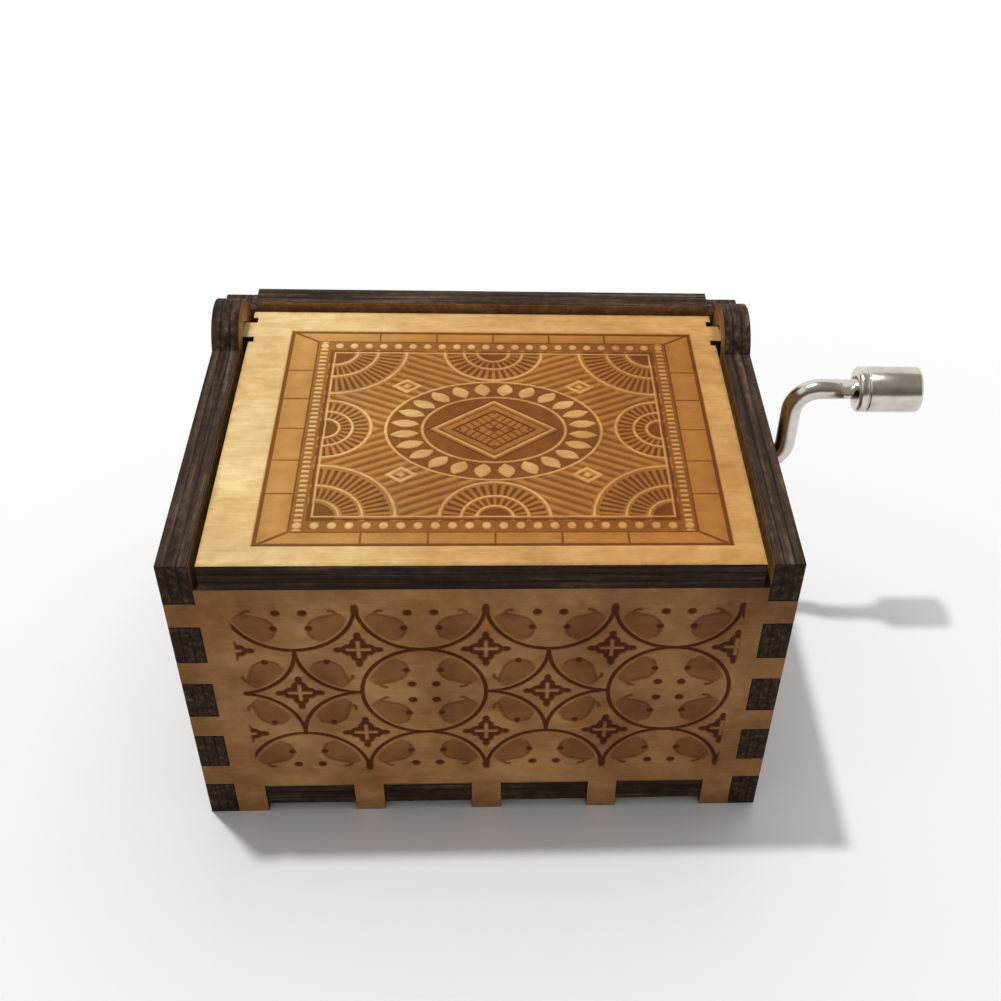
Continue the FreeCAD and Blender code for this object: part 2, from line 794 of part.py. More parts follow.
def crank_wire():
    """One bent wire: grooved at the inner end, pinched before the knob and riveted over."""
    start = Vector(wire_inner_x, wheel_y, crank_z)
    section = Part.Wire(Part.makeCircle(wire_radius, start, ALONG_X))
    mitred = 1
    wire = wire_path().makePipeShell([section], True, False, mitred)
    lobe_end = knob_inner_x - lobe_stand_off
    lobe_x = (lobe_end - lobe_length, lobe_end)
    lobes = block(lobe_x, (wheel_y - lobe_half_width, wheel_y + lobe_half_width),
                  (knob_z - wire_radius + dent_depth, knob_z + wire_radius - dent_depth))
    corners = [edge for edge in lobes.Edges if abs(edge.tangentAt(edge.FirstParameter).x) < 0.5
               and abs(edge.tangentAt(edge.FirstParameter).z) > 0.5]
    lobes = lobes.makeFillet(lobe_corner_radius, corners)
    dents = []
    for side in (-1, 1):
        surface = knob_z + side * wire_radius
        bottom = surface - side * dent_depth
        outline = [
            Vector(lobe_x[0], wheel_y - wire_radius, surface + side * cut_overrun),
            Vector(lobe_x[0] + dent_run_out, wheel_y - wire_radius, bottom),
            Vector(lobe_x[1] - dent_run_out, wheel_y - wire_radius, bottom),
            Vector(lobe_x[1], wheel_y - wire_radius, surface + side * cut_overrun),
        ]
        dents.append(prism(outline, ALONG_Y * (2 * wire_radius)))
    head_start = Vector(wire_outer_x - rivet_head_height, wheel_y, knob_z)
    head = Part.makeCylinder(rivet_head_radius, rivet_head_height, head_start, ALONG_X)
    groove_x = left_post_x - end_float - clip_thickness
    groove_start = Vector(groove_x, wheel_y, crank_z)
    groove_end = Vector(left_post_x - end_float, wheel_y, crank_z)
    groove = rod(wire_radius + cut_overrun, groove_start, groove_end)
    groove = groove.cut(rod(wire_radius - clip_groove_depth, groove_start, groove_end))
    return wire.cut(dents).fuse([lobes, head]).cut(groove).removeSplitter()


def retaining_clip():
    """Open spring clip in the groove at the wire's inner end."""
    start = Vector(left_post_x - end_float - clip_thickness, wheel_y, crank_z)
    end = Vector(left_post_x - end_float, wheel_y, crank_z)
    grip_radius = wire_radius - clip_groove_depth + fixed_clearance
    disc = rod(clip_radius, start, end).cut(rod(grip_radius, start, end))
    mouth = block((start.x, end.x), (wheel_y - grip_radius, wheel_y + grip_radius),
                  (crank_z - clip_radius, crank_z))
    return disc.cut(mouth)


def crank_knob():
    """Turned sleeve that spins on the wire's outer end, recessed at the riveted head."""
    bore = wire_radius + running_clearance
    rivet_recess = knob_length - rivet_setback - rivet_head_height - running_clearance
    recess_radius = rivet_head_radius + rivet_recess_clearance
    profile = [
        (knob_mouth_depth, bore),
        (knob_mouth_depth, knob_mouth_radius),
        (0, knob_mouth_radius),
        (0, knob_radius - knob_edge),
        (knob_edge, knob_radius),
        (knob_length - knob_edge, knob_radius),
        (knob_length, knob_radius - knob_edge),
        (knob_length, recess_radius),
        (rivet_recess, recess_radius),
        (rivet_recess, bore),
    ]
    return turned(profile, Vector(knob_inner_x, wheel_y, knob_z), ALONG_X)


# ---------------------------------------------------------------- export

NODES = {
    "front_panel": front_panel,
    "back_panel": back_panel,
    "left_panel": left_panel,
    "right_panel": right_panel,
    "bottom_panel": bottom_panel,
    "lid": lid,
    "movement_bedplate": movement_bedplate,
    "cylinder_bearing_bracket": cylinder_bearing_bracket,
    "bracket_screw": bracket_screw,
    "mounting_screws": mounting_screws,
    "comb": comb,
    "comb_screws": comb_screws,
    "comb_bass_weights": comb_bass_weights,
    "comb_dampers": comb_dampers,
    "cylinder_sleeve": cylinder_sleeve,
    "cylinder_front_cap": cylinder_front_cap,
    "cylinder_rear_cap": cylinder_rear_cap,
    "cylinder_arbor": cylinder_arbor,
    "worm_wheel": worm_wheel,
    "crank_worm": crank_worm,
    "crank_wire": crank_wire,
    "retaining_clip": retaining_clip,
    "crank_knob": crank_knob,
}

os.makedirs("parts", exist_ok=True)
for name, build in NODES.items():
    shape = build()
    shape.translate(Vector(origin_shift, 0, 0))
    shape.exportStep("parts/" + name + ".step")
    print(name, "solids", len(shape.Solids), "valid", shape.isValid(), "volume", round(shape.Volume, 2))
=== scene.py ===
import json
import math

import bmesh
import bpy
import numpy as np
from mathutils import Matrix, Vector
from mathutils.geometry import delaunay_2d_cdt


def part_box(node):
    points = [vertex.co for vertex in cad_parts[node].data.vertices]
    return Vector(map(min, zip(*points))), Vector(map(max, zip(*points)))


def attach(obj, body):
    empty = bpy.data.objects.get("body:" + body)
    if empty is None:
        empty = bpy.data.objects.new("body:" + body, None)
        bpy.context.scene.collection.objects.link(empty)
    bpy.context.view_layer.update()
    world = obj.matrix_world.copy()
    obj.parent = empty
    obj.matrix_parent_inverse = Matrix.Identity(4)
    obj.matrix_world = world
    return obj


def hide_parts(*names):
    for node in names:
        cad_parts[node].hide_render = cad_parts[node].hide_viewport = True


# Small hand-cranked music box: engraved plywood case, plated wire crank, 18-note movement.
# Sizes are written in millimetres about the middle of the case, and become metres in place.

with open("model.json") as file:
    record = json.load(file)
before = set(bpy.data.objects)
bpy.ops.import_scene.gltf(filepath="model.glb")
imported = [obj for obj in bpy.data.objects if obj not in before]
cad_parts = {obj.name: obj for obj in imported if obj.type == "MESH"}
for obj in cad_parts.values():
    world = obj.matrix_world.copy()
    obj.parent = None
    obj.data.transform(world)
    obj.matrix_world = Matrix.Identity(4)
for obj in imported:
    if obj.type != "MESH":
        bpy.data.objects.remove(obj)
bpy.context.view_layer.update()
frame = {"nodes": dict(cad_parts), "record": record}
nodes = frame["nodes"]
home = {node: body for body, members in frame["record"]["behaviour"]["bodies"].items() for node in members}

MM = 0.001
RADIANS = math.pi / 180
WELD = 0.0005  # Corners nearer than this are one corner.
SOFT_EDGE = 0.12  # Over this width a burnt edge fades.
PLIES = 3.0
TONE_AND_LIGHT_WIDTH = 56  # A panel's tones, and on the lid painted light that is brighter at the left, change from the left to the right over this width.

# The case, in millimetres.
HALF_WIDTH, HALF_DEPTH = 32, 25
FRONT_TOP, SIDE_TOP, BACK_TOP = 35.8, 39, 39.85
LID_HALF_WIDTH, LID_FRONT, LID_BACK = 28.1, -25, 21
HINGE_Y, HINGE_Z, EAR_RADIUS = 17.0, 37.4, 5.0
CRANK_HOLE_RADIUS = 4.0
SHARP = 32  # Faces that meet at more than this many degrees meet at an edge.


def span_of(node, axis):
    """Lowest and highest place of a CAD node along an axis, in millimetres."""
    low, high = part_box(node)
    return (low[axis] / MM, high[axis] / MM)


def middle_of(node, axis):
    """Middle of a CAD node along an axis, in millimetres."""
    return sum(span_of(node, axis)) / 2


case_x = middle_of("lid", 0)
shaft_y, shaft_z = middle_of("crank_worm", 1), middle_of("crank_worm", 2)
knob_z = middle_of("crank_knob", 2)
arbor_x, arbor_z = middle_of("cylinder_arbor", 0), middle_of("cylinder_arbor", 2)


# -------- node wiring


def operator(operation, reflected=False):
    """Operator of a value, which adds one maths node. A reflected form swaps the two terms."""
    def method(value, other):
        terms = (other, value) if reflected else (value, other)
        return value.wiring.maths(operation, *terms)
    return method


class Value:
    """A number or colour on a wiring, so that a pattern is written as plain maths."""

    def __init__(self, wiring, socket):
        self.wiring = wiring
        self.socket = socket

    def __abs__(self):
        return self.wiring.maths("ABSOLUTE", self)

    __add__ = __radd__ = operator("ADD")
    __mul__ = __rmul__ = operator("MULTIPLY")
    __sub__, __rsub__ = operator("SUBTRACT"), operator("SUBTRACT", True)
    __truediv__ = operator("DIVIDE")


class Wiring:
    """A node tree, with one way to add any node and one to add maths."""

    def __init__(self, tree):
        self.tree = tree
        self.tree.nodes.clear()

    def node(self, kind, sockets=None, settings=None, output=0):
        """Any node, its settings made before the values or links of its sockets. Gives one output."""
        made = self.tree.nodes.new(kind)
        for name, value in (settings or {}).items():
            if name == "stops":
                for i, (place, colour) in enumerate(value):
                    elements = made.color_ramp.elements
                    stop = elements[i] if i < 2 else elements.new(place)
                    stop.position = place
                    stop.color = colour
            else:
                setattr(made, name, value)
        for name, value in (sockets or {}).items():
            links = value if isinstance(value, list) else [value]
            if isinstance(links[0], Value):
                for link in links:
                    self.tree.links.new(link.socket, made.inputs[name])
            else:
                made.inputs[name].default_value = value
        return Value(self, made.outputs[output] if made.outputs else None)

    def maths(self, operation, *terms):
        return self.node("ShaderNodeMath", dict(enumerate(terms)), {"operation": operation})

    def end(self, share, one, other, kind="ShaderNodeOutputMaterial"):
        """Ends the wiring in two shaders, mixed by a share from 0 to 1."""
        both = self.node("ShaderNodeMixShader", {0: share, 1: one, 2: other})
        self.node(kind, {"Surface": both})


class Finish(Wiring):
    """One material, and where a point of its piece lies in millimetres."""

    def __init__(self, name):
        self.material = bpy.data.materials.new(name)
        self.material.use_nodes = True
        super().__init__(self.material.node_tree)

    def mix(self, share, plain, full, blend="MIX"):
        """Colour between two others, by a share from 0 to 1."""
        factor, colour_a, colour_b, mixed = 0, 6, 7, 2
        return self.node("ShaderNodeMix", {factor: share, colour_a: plain, colour_b: full},
                         {"data_type": "RGBA", "blend_type": blend}, mixed)

    def multiplied(self, colour, by):
        return self.mix(1.0, colour, by, "MULTIPLY")

    def point(self, centre=(0, 0, 0), stretch=(1, 1, 1)):
        """Object coordinates in millimetres about a centre, stretched along each axis."""
        place = self.node("ShaderNodeTexCoord", output="Object")
        scale = [1 / MM * s for s in stretch]
        offset = [-c * s for c, s in zip(centre, stretch)]
        return self.node("ShaderNodeMapping", {"Vector": place, "Scale": scale, "Location": offset})

    def axes(self, vector):
        """The three parts of a vector."""
        split = self.node("ShaderNodeSeparateXYZ", {"Vector": vector})
        return [Value(self, out) for out in split.socket.node.outputs]

    def noise(self, vector, scale, detail=3.0, roughness=0.55, distortion=0.0):
        sockets = {"Vector": vector, "Scale": scale, "Detail": detail, "Roughness": roughness,
                   "Distortion": distortion}
        return self.node("ShaderNodeTexNoise", sockets, {"normalize": True})

    def ramp(self, share, *stops):
        """Colour from a share. A ramp's own two stops come first, and then those between them."""
        return self.node("ShaderNodeValToRGB", {"Fac": share}, {"stops": stops})

    def surface(self, sockets, bump=None, bump_depth=0.0):
        """Ends the wiring in one Principled shader, with a bump's depth in millimetres."""
        if bump is not None:
            sockets["Normal"] = self.node("ShaderNodeBump", {
                "Height": bump, "Distance": bump_depth * MM, "Strength": 1.0})
        shader = self.node("ShaderNodeBsdfPrincipled", sockets)
        self.node("ShaderNodeOutputMaterial", {"Surface": shader})
        return self.material


class Recipe(Wiring):
    """A Geometry Nodes tree with named inputs, run once into a plain mesh."""

    def __init__(self, name, inputs):
        super().__init__(bpy.data.node_groups.new(name, "GeometryNodeTree"))
        self.name = name
        self.values = {}
        self.tree.interface.new_socket("Mesh", in_out="OUTPUT", socket_type="NodeSocketGeometry")
        for label, value in inputs.items():
            kinds = {int: "NodeSocketInt", float: "NodeSocketFloat", tuple: "NodeSocketVector"}
            socket = self.tree.interface.new_socket(label, in_out="INPUT", socket_type=kinds[type(value)])
            self.values[socket.identifier] = value
        source = self.tree.nodes.new("NodeGroupInput")
        self.given = {label: Value(self, source.outputs[label]) for label in inputs}

    def vector(self, x=0.0, y=0.0, z=0.0):
        return self.node("ShaderNodeCombineXYZ", {"X": x, "Y": y, "Z": z})

    def moved(self, geometry, place):
        return self.node("GeometryNodeTransform", {"Geometry": geometry, "Translation": place})

    def mesh(self, geometry, material):
        """Runs the tree with its inputs and gives the result as a mesh without the modifier."""
        solid = self.node("GeometryNodeRealizeInstances", {"Geometry": geometry})
        dressed = self.node("GeometryNodeSetMaterial", {"Geometry": solid, "Material": material})
        self.node("NodeGroupOutput", {"Mesh": dressed})
        carrier = linked(self.name, bpy.data.meshes.new(self.name))
        rule = carrier.modifiers.new("rule", "NODES")
        rule.node_group = self.tree
        for identifier, value in self.values.items():
            rule[identifier] = value
        return worked_out(carrier)


def linked(name, data):
    """New object in the scene."""
    piece = bpy.data.objects.new(name, data)
    bpy.context.scene.collection.objects.link(piece)
    return piece


def worked_out(carrier):
    """Plain mesh of an object with its modifiers applied. The object itself goes."""
    made = bpy.data.meshes.new_from_object(carrier.evaluated_get(bpy.context.evaluated_depsgraph_get()))
    bpy.data.objects.remove(carrier)
    return made


def tint(red, green, blue):
    """Colour from its usual 0 to 255 numbers."""
    def linear(c):
        c = c / 255
        return c / 12.92 if c <= 0.04045 else ((c + 0.055) / 1.055) ** 2.4
    return (linear(red), linear(green), linear(blue), 1.0)


def gain(red, green, blue):
    """Factors for the three parts of a colour."""
    return (red, green, blue, 1.0)


WHITE = gain(1.0, 1.0, 1.0)
EVEN_TONES = ((0.0, WHITE), (1.0, WHITE))


# -------- pattern maths
# Each step works on arrays, for the cut surface, and on a finish's values, for its colour.


def either(operation, on_arrays, *terms):
    """One sum, as a node where a term is a value, or else on numbers and arrays."""
    for term in terms:
        if isinstance(term, Value):
            return term.wiring.maths(operation, *terms)
    return on_arrays(*terms)


def least(first, *others):
    for other in others:
        first = either("MINIMUM", np.minimum, first, other)
    return first


def most(first, *others):
    for other in others:
        first = either("MAXIMUM", np.maximum, first, other)
    return first


def clamped(value):
    """Value held between 0 and 1."""
    return least(most(value, 0.0), 1.0)


def wrapped(value, period):
    """Value that starts again from 0 after each period."""
    return either("FLOORED_MODULO", np.mod, value, period)


def off_centre(value, period):
    """How far a value lies from the middle of its own period."""
    return abs(wrapped(value, period) - period / 2)


def distance(x, y):
    return either("SQRT", np.sqrt, x * x + y * y)


def outside_disc(x, y, middle, radius):
    """How far outside a disc a point lies. Inside it, this is below 0."""
    return distance(x - middle[0], y - middle[1]) - radius


def outside_frame(p, q, half_p, half_q):
    """How far outside an upright rectangle about the middle a point lies."""
    return most(p - half_p, q - half_q)


def bearing(y, x):
    """Angle of a point in degrees."""
    return either("ARCTAN2", np.arctan2, y, x) * (180 / math.pi)


def inside(reach, soft=SOFT_EDGE):
    """1 where reach is below 0, falling to 0 over a soft edge."""
    return clamped(0.5 - reach / soft)


def stroke(away, half_width, soft=SOFT_EDGE):
    """1 along a line, from how far away its middle is."""
    return inside(abs(away) - half_width, soft)


def bars(value, pitch, share, soft=SOFT_EDGE):
    """Row of equal bars: 1 on each bar, which fills a share of the pitch."""
    return inside(off_centre(value, pitch) - pitch * share / 2, soft)


def melted(one, other, blend):
    """Nearer of two shapes, run together over a smooth neck."""
    overlap = most(blend - abs(one - other), 0.0) / blend
    return least(one, other) - overlap * overlap * blend / 4


def laid_over(under, over, share):
    """One mark laid over another, by a share from 0 to 1."""
    return under + (over - under) * share


# -------- engravings
# A mark is how deep the laser burns: 0 leaves the wood alone, 1 is the darkest.


def leaf(a, b, radius):
    """Curled leaf in a quarter of a circle, its round end by the upright through the middle."""
    flesh_burn, edge_burn, eye_burn, hook_burn = 0.27, 0.42, 0.8, 0.5
    rim = distance(a, b) - radius
    bulb = outside_disc(a, b, (3.4, 3.55), 1.85)
    stem = outside_disc(a, b, (4.9, 2.2), 0.85)
    body = most(melted(bulb, stem, 1.4), rim + 0.45)
    edge = stroke(body + 0.15, 0.2, 0.25) * inside(rim + 1.1, 0.5)
    eye = inside(outside_disc(a, b, (1.8, 3.4), 0.4), 0.25)
    hook = stroke(outside_disc(a, b, (4.0, 1.6), 0.75), 0.19, 0.2)
    hook = hook * inside(b - 1.35, 0.3) * inside(3.8 - a, 0.3)
    return most(inside(body, 0.3) * flesh_burn, edge * edge_burn, eye * eye_burn, hook * hook_burn)


def quatrefoil(p, q):
    """Four dark petals with arrow tips round a light cross, about their own middle."""
    p, q = abs(p), abs(q)
    near, far = least(p, q), most(p, q)
    cross = inside(near - 0.22, 0.2) * inside(far - 1.3, 0.2)
    notches = inside(outside_disc(p, q, (1.15, 1.15), 0.34), 0.25)
    tips = inside(distance((far - 2.05) * 0.7, near) - 0.38, 0.2)
    return most(inside(p + q - 2.15, 0.3) * (1 - most(cross, notches)), tips)


def trellis(x, z, reach=26.2):
    """Interlaced circles, stars and scallops, for the upright panels."""
    r, line, middle_z, line_burn = 6.6, 0.22, 20.5, 0.8
    dot_radius, dot_flat = 0.42, 0.9
    u = abs(wrapped(x + 3 * r, 4 * r) - 2 * r)
    v = abs(z - middle_z)
    circle = stroke(distance(u, v) - r, line)
    star = stroke(distance(u - r, v - r) - r, line) * inside(r - u) * inside(v - r)
    scallop = most(stroke(distance(u, v - 2 * r) - r, line),
                   stroke(distance(u - 2 * r, v - 2 * r) - r, line)) * inside(v - 2 * r + 0.2)
    tip = inside(distance(u - r, (v - 2 * r + 0.9) * 0.42) - 0.4, 0.25) * inside(v - 2 * r)
    diamonds = most(quatrefoil(u - 2 * r, v), quatrefoil(u - r, v - r))
    dots = inside(distance((u - 1.28) * dot_flat, v - 1.25) - dot_radius, 0.2)
    end_dots = inside(distance((least(u, abs(u - 2 * r)) - 1.35) * dot_flat, v - 12.0) - dot_radius, 0.2)
    leaves = most(leaf(u, v, r), leaf(r - v, u - r, r), leaf(u, 2 * r - v, r), leaf(2 * r - u, 2 * r - v, r))
    lines = most(circle, star, scallop, tip, diamonds, dots, end_dots)
    return most(lines * line_burn, leaves) * inside(abs(x - 0.45) - reach, 0.3)


def fan(p, q, radius, pitch):
    """Ribbed fan about its own corner: petals, then fine ribs, between light rims."""
    away = distance(p, q)
    turn = bearing(q, p)
    length = away * RADIANS
    ribs = inside(off_centre(turn, pitch) * length - away * (pitch * 0.0042))
    ribs = ribs * inside(radius * 0.62 - away) * inside(away - radius * 0.9)
    petals = inside(off_centre(turn, pitch * 1.5) * length - away * (pitch * 0.0075))
    petals = petals * inside(radius * 0.36 - away) * inside(away - radius * 0.54)
    mark = 0.5 + 0.36 * most(ribs, petals) + 0.32 * inside(away - radius * 0.27)
    rims = most(stroke(away - radius * 0.955, 0.15), stroke(away - radius * 0.58, 0.12),
                stroke(away - radius * 0.315, 0.11))
    return laid_over(mark, 0.06, rims)


def rosette(oval, turn):
    """Light petals between two rims, from how far out and which way round the oval a point lies."""
    inner_rim, outer_rim, petal_middle, petal_pitch = 5.95, 8.95, 7.45, 15.0
    across = off_centre(turn, petal_pitch) * oval * RADIANS
    along = (oval - petal_middle) / 1.2
    petals = inside(across - 0.66 * (1 - along * along))
    return most(petals, stroke(oval - inner_rim, 0.12), stroke(oval - outer_rim, 0.12))


def nested_lozenge(p, q, lozenge):
    """Dark lozenges one in another, slant bars in the inmost, and a light line near the outside."""
    soft = 0.03
    nest = most(*(stroke(lozenge - at, half_width, soft)
                  for at, half_width in ((0.97, 0.03), (0.78, 0.02), (0.6, 0.035), (0.3, 0.03))))
    slant_bars = bars(p - q * 0.9, 1.05, 0.35) * inside(lozenge - 0.58, soft)
    core = most(nest * 0.95, inside(lozenge - 0.1, soft) * 0.9, slant_bars * 0.8, 0.52)
    return laid_over(core, 0.04, stroke(lozenge - 0.875, 0.03, soft))


def lid_field(p, q):
    """Fans, a rosette with a nested lozenge, and small lozenges, folded into one quarter."""
    half_p, half_q = 18.7, 15.1
    corner_fan, side_fan, front_fan = 8.9, 5.4, 6.0
    far_p, far_q = half_p - p, half_q - q
    lozenge = p / 7.6 + q / 5.8
    small = abs(p - 9.9) / 1.75 + abs(q - 8.1) / 1.4
    flat = p * 0.75
    oval = distance(flat, q)
    light = most(rosette(oval, bearing(q, flat)), inside(small - 1.0, 0.1) * inside(0.62 - small, 0.1),
                 inside(small - 0.3, 0.1))
    slant, stripe_pitch, stripe_soft = p * 0.5 - q, 1.3, 0.25
    mark = 0.52 + bars(slant, stripe_pitch, 0.34, stripe_soft) * 0.2
    mark = mark - bars(slant + stripe_pitch / 2, stripe_pitch, 0.16, stripe_soft) * 0.2
    mark = most(mark, 0.74 * inside(oval - 8.9))
    mark = laid_over(mark, 0.04, light)
    mark = laid_over(mark, nested_lozenge(p, q, lozenge), inside(lozenge - 1.0, 0.03))
    for across, up, radius, pitch in ((far_p, far_q, corner_fan, 6.0), (far_p, q, side_fan, 10.0),
                                      (p, far_q, front_fan, 10.0)):
        mark = laid_over(mark, fan(across, up, radius, pitch), inside(distance(across, up) - radius))
    return mark


def lid_engraving(x, y):
    """Brick border with mitred corners, a row of beads, and the field inside it."""
    middle_x, middle_y, side_brick, front_brick = 1.0, -2.6, 5.6, 6.75
    band_p, band_q, wide_p, wide_q = 20.65, 17.15, 3.5, 2.3
    p, q = abs(x - middle_x), abs(y - middle_y)
    panel_in = inside(outside_frame(p, q, 24.15, 19.45), 0.2)
    band_in = inside(outside_frame(p, q, band_p, band_q))
    bead_in = inside(outside_frame(p, q, 19.2, 15.5))

    out_p, out_q = (p - band_p) / wide_p, (q - band_q) / wide_q
    along_side = inside(out_q - out_p, 0.03)
    side_joints = stroke(off_centre(q + side_brick / 2, side_brick), 0.15, 0.2) * inside(q - 15.6)
    front_joints = stroke(off_centre(p + front_brick / 2, front_brick), 0.15, 0.2) * inside(p - 18.0)
    joints = side_joints * along_side + front_joints * (1 - along_side)
    mitre = stroke((out_p - out_q) * 2.0, 0.22, 0.2)
    rim = most(stroke(outside_frame(p, q, 23.9, 19.2), 0.26, 0.2),
               stroke(outside_frame(p, q, 20.75, 17.25), 0.16, 0.2))
    shaded = 0.07 * clamped(1.0 - abs(outside_frame(p, q, 20.7, 17.2) - 1.5) / 1.2)
    band = most(0.44 - shaded, 0.78 * most(joints, mitre), 0.84 * rim)

    side_beads = most(abs(p - 19.95) - 0.4, off_centre(q, 0.795) - 0.19)
    front_beads = distance(off_centre(p, 1.735), (q - 16.3) * 0.9) - 0.45
    row = 0.66 - 0.6 * inside(least(side_beads, front_beads), 0.16)
    dark_line = stroke(outside_frame(p, q, 18.95, 15.25), 0.17, 0.2)
    light_line = stroke(outside_frame(p, q, 18.6, 14.9), 0.1)
    field = most(laid_over(lid_field(p, q), 0.12, light_line), 0.9 * dark_line)
    mark = band * (1 - band_in) + row * band_in * (1 - bead_in) + field * bead_in
    return mark * panel_in


# -------- wood


def plywood(name, axis, span, outward, grain_axis=0, rim=None, smoke_and_shade=None, engraving=None, tones=EVEN_TONES,
            cloudy=0.3, browns=None):
    """Birch ply cut by laser: pale faces, engraved browns, smoky rims that also carry painted shade,
    charred, layered edges, and tones that on the lid are painted light.
    """
    knots, smoke_and_shade_brown, glue_line = tint(150, 104, 58), tint(82, 52, 32), tint(20, 13, 10)
    wood = Finish(name)
    point = wood.point((case_x, 0, 0))
    place = wood.axes(point)
    across, upright = [place[a] for a in range(3) if a != axis]
    facing = abs(wood.axes(wood.node("ShaderNodeTexCoord", output="Normal"))[axis])
    wall = clamped((0.8 - facing) / 0.3)

    stretch = [1.0, 1.0, 1.0]
    stretch[grain_axis] = 0.05
    along = wood.point((case_x, 0, 0), stretch)
    stretch[grain_axis] = 0.3
    broad = wood.noise(wood.point((case_x, 0, 0), stretch), 0.5, 4.0, 0.6, 0.8)
    fine = wood.noise(along, 3.4, 3.0, 0.6)
    pores = wood.noise(along, 9.0, 2.0, 0.5)
    blotch = wood.noise(point, 0.075, 2.0)
    ripple = wood.noise(point, 0.5, 2.0)
    share = 0.5
    for cloud, weight in ((broad, 0.9), (fine, 0.4), (blotch, 0.8), (ripple, 0.7)):
        share = share + (cloud - 0.5) * weight
    share = clamped(share)
    pale = wood.ramp(share, (0.0, tint(186, 140, 84)), (1.0, tint(238, 206, 150)),
                     (0.35, tint(208, 166, 106)), (0.62, tint(222, 184, 126)))
    pale = wood.mix(clamped((0.42 - pores) * 5.0) * 0.3, pale, knots)

    low, high = span
    through = (place[axis] - low) / (high - low)
    drift = wood.noise(point, 1.3, 3.0)
    face = pale
    if engraving:
        burn = engraving(across, upright) * (0.88 + 0.26 * drift)
        burn = burn * inside((0.5 - through) * outward, 0.02)
        grain = wood.ramp(share, (0.0, gain(0.72, 0.72, 0.72)), (1.0, gain(1.2, 1.18, 1.12)))
        brown = wood.multiplied(wood.ramp(burn, *browns), grain)
        face = wood.mix(clamped(burn * 3.4), pale, brown)
    clouds = wood.noise(point, 0.11, 3.0, 0.6)
    dim = 1.0 - cloudy
    shade = wood.mix(clamped(0.5 + (clouds - 0.5) * 3.0), gain(dim, dim * 0.97, dim * 0.93),
                     gain(1.04, 1.04, 1.03))
    # Tones from left to right with random blotches; on the lid they are painted light, paler at the lit left
    # and darker at the shaded right.
    tone_and_light_lean = clamped(0.5 + place[0] / TONE_AND_LIGHT_WIDTH + (blotch - 0.5) * 0.5)
    face = wood.multiplied(wood.multiplied(face, shade), wood.ramp(tone_and_light_lean, *tones))
    # Laser smoke stain near the outline, which is also painted shade: under the lid's edge on the front's
    # top, on the back's face above the lid, and on the walls' tops in the gap beside the lid.
    if rim:
        reach, strength = smoke_and_shade
        depth = reach * (1.0 + (drift - 0.5) * 2.4 + (clouds - 0.5) * 1.6)
        face = wood.mix(clamped((depth - rim(across, upright)) / reach) * strength, face, smoke_and_shade_brown)

    ragged = wood.noise(point, 0.9, 4.0, 0.6)
    streaks = wood.noise(along, 1.5, 3.0, 0.6)
    layer = off_centre(through * PLIES + (ragged - 0.5) * 0.22, 1.0)
    seam = clamped((layer - 0.36) * 9.0)
    char_share = clamped(0.15 + (streaks - 0.42) * 2.1 + (ragged - 0.5) * 0.9)
    char = wood.ramp(char_share, (0.0, tint(42, 30, 23)), (1.0, tint(154, 132, 104)),
                     (0.45, tint(74, 56, 44)), (0.75, tint(106, 86, 66)))
    char = wood.mix(seam * 0.75, char, glue_line)
    rough = 0.6 + wall * 0.12 - (fine - 0.5) * 0.15
    relief = fine * 0.4 + pores * 0.4 + wall * (ragged * 1.4 + streaks * 1.2 - seam * 1.2)
    return wood.surface({"Base Color": wood.mix(wall, face, char), "Roughness": rough,
                         "Specular IOR Level": 0.12}, relief, 0.05)


def merged(node):
    """Editable copy of a CAD node with its loose triangles joined into plain faces."""
    mesh = bmesh.new()
    mesh.from_mesh(nodes[node].data)
    bmesh.ops.remove_doubles(mesh, verts=mesh.verts, dist=WELD * MM)
    bmesh.ops.dissolve_limit(mesh, angle_limit=math.radians(0.5), verts=mesh.verts, edges=mesh.edges)
    return mesh


def ease_edges(mesh, width, over_degrees):
    """Rounds each edge whose two faces meet at more than an angle."""
    sharp = [e for e in mesh.edges
             if len(e.link_faces) == 2 and e.calc_face_angle() > math.radians(over_degrees)]
    bmesh.ops.bevel(mesh, geom=sharp, offset=width * MM, segments=2, profile=0.5, affect="EDGES",
                    clamp_overlap=True)


def loops_of(edges):
    """Closed loops of vertices along a set of edges."""
    links = {}
    for edge in edges:
        for vert in edge.verts:
            links.setdefault(vert, []).append(edge.other_vert(vert))
    loops, seen = [], set()
    for start in links:
        if start in seen:
            continue
        loop, previous, current = [], None, start
        while current not in seen:
            seen.add(current)
            loop.append(current)
            following = [v for v in links[current] if v is not previous and v not in seen]
            previous, current = current, following[0] if following else start
        loops.append(loop)
    return loops


def crosses(points, loops):
    """Which points lie inside an odd number of loops."""
    odd = np.zeros(len(points), bool)
    px, py = points[:, 0:1], points[:, 1:2]
    for loop in loops:
        a, b = loop, np.roll(loop, -1, axis=0)
        above = (a[:, 1] > py) != (b[:, 1] > py)
        rise = np.where(b[:, 1] == a[:, 1], 1e-12, b[:, 1] - a[:, 1])
        at = a[:, 0] + (py - a[:, 1]) / rise * (b[:, 0] - a[:, 0])
        odd ^= (np.sum(above & (px < at), axis=1) % 2).astype(bool)
    return odd


def panel(node, axis, outward, material, field=None, engraving=None, spacing=0.2, depth=0.2, hole=None):
    """Plywood panel with eased edges and, where it has a field, its engraving cut into it."""
    mesh = merged(node)
    ease_edges(mesh, 0.1, 30)
    if field:
        engrave(mesh, axis, outward, field, engraving, spacing, depth, hole)
    finished(node, mesh, material)


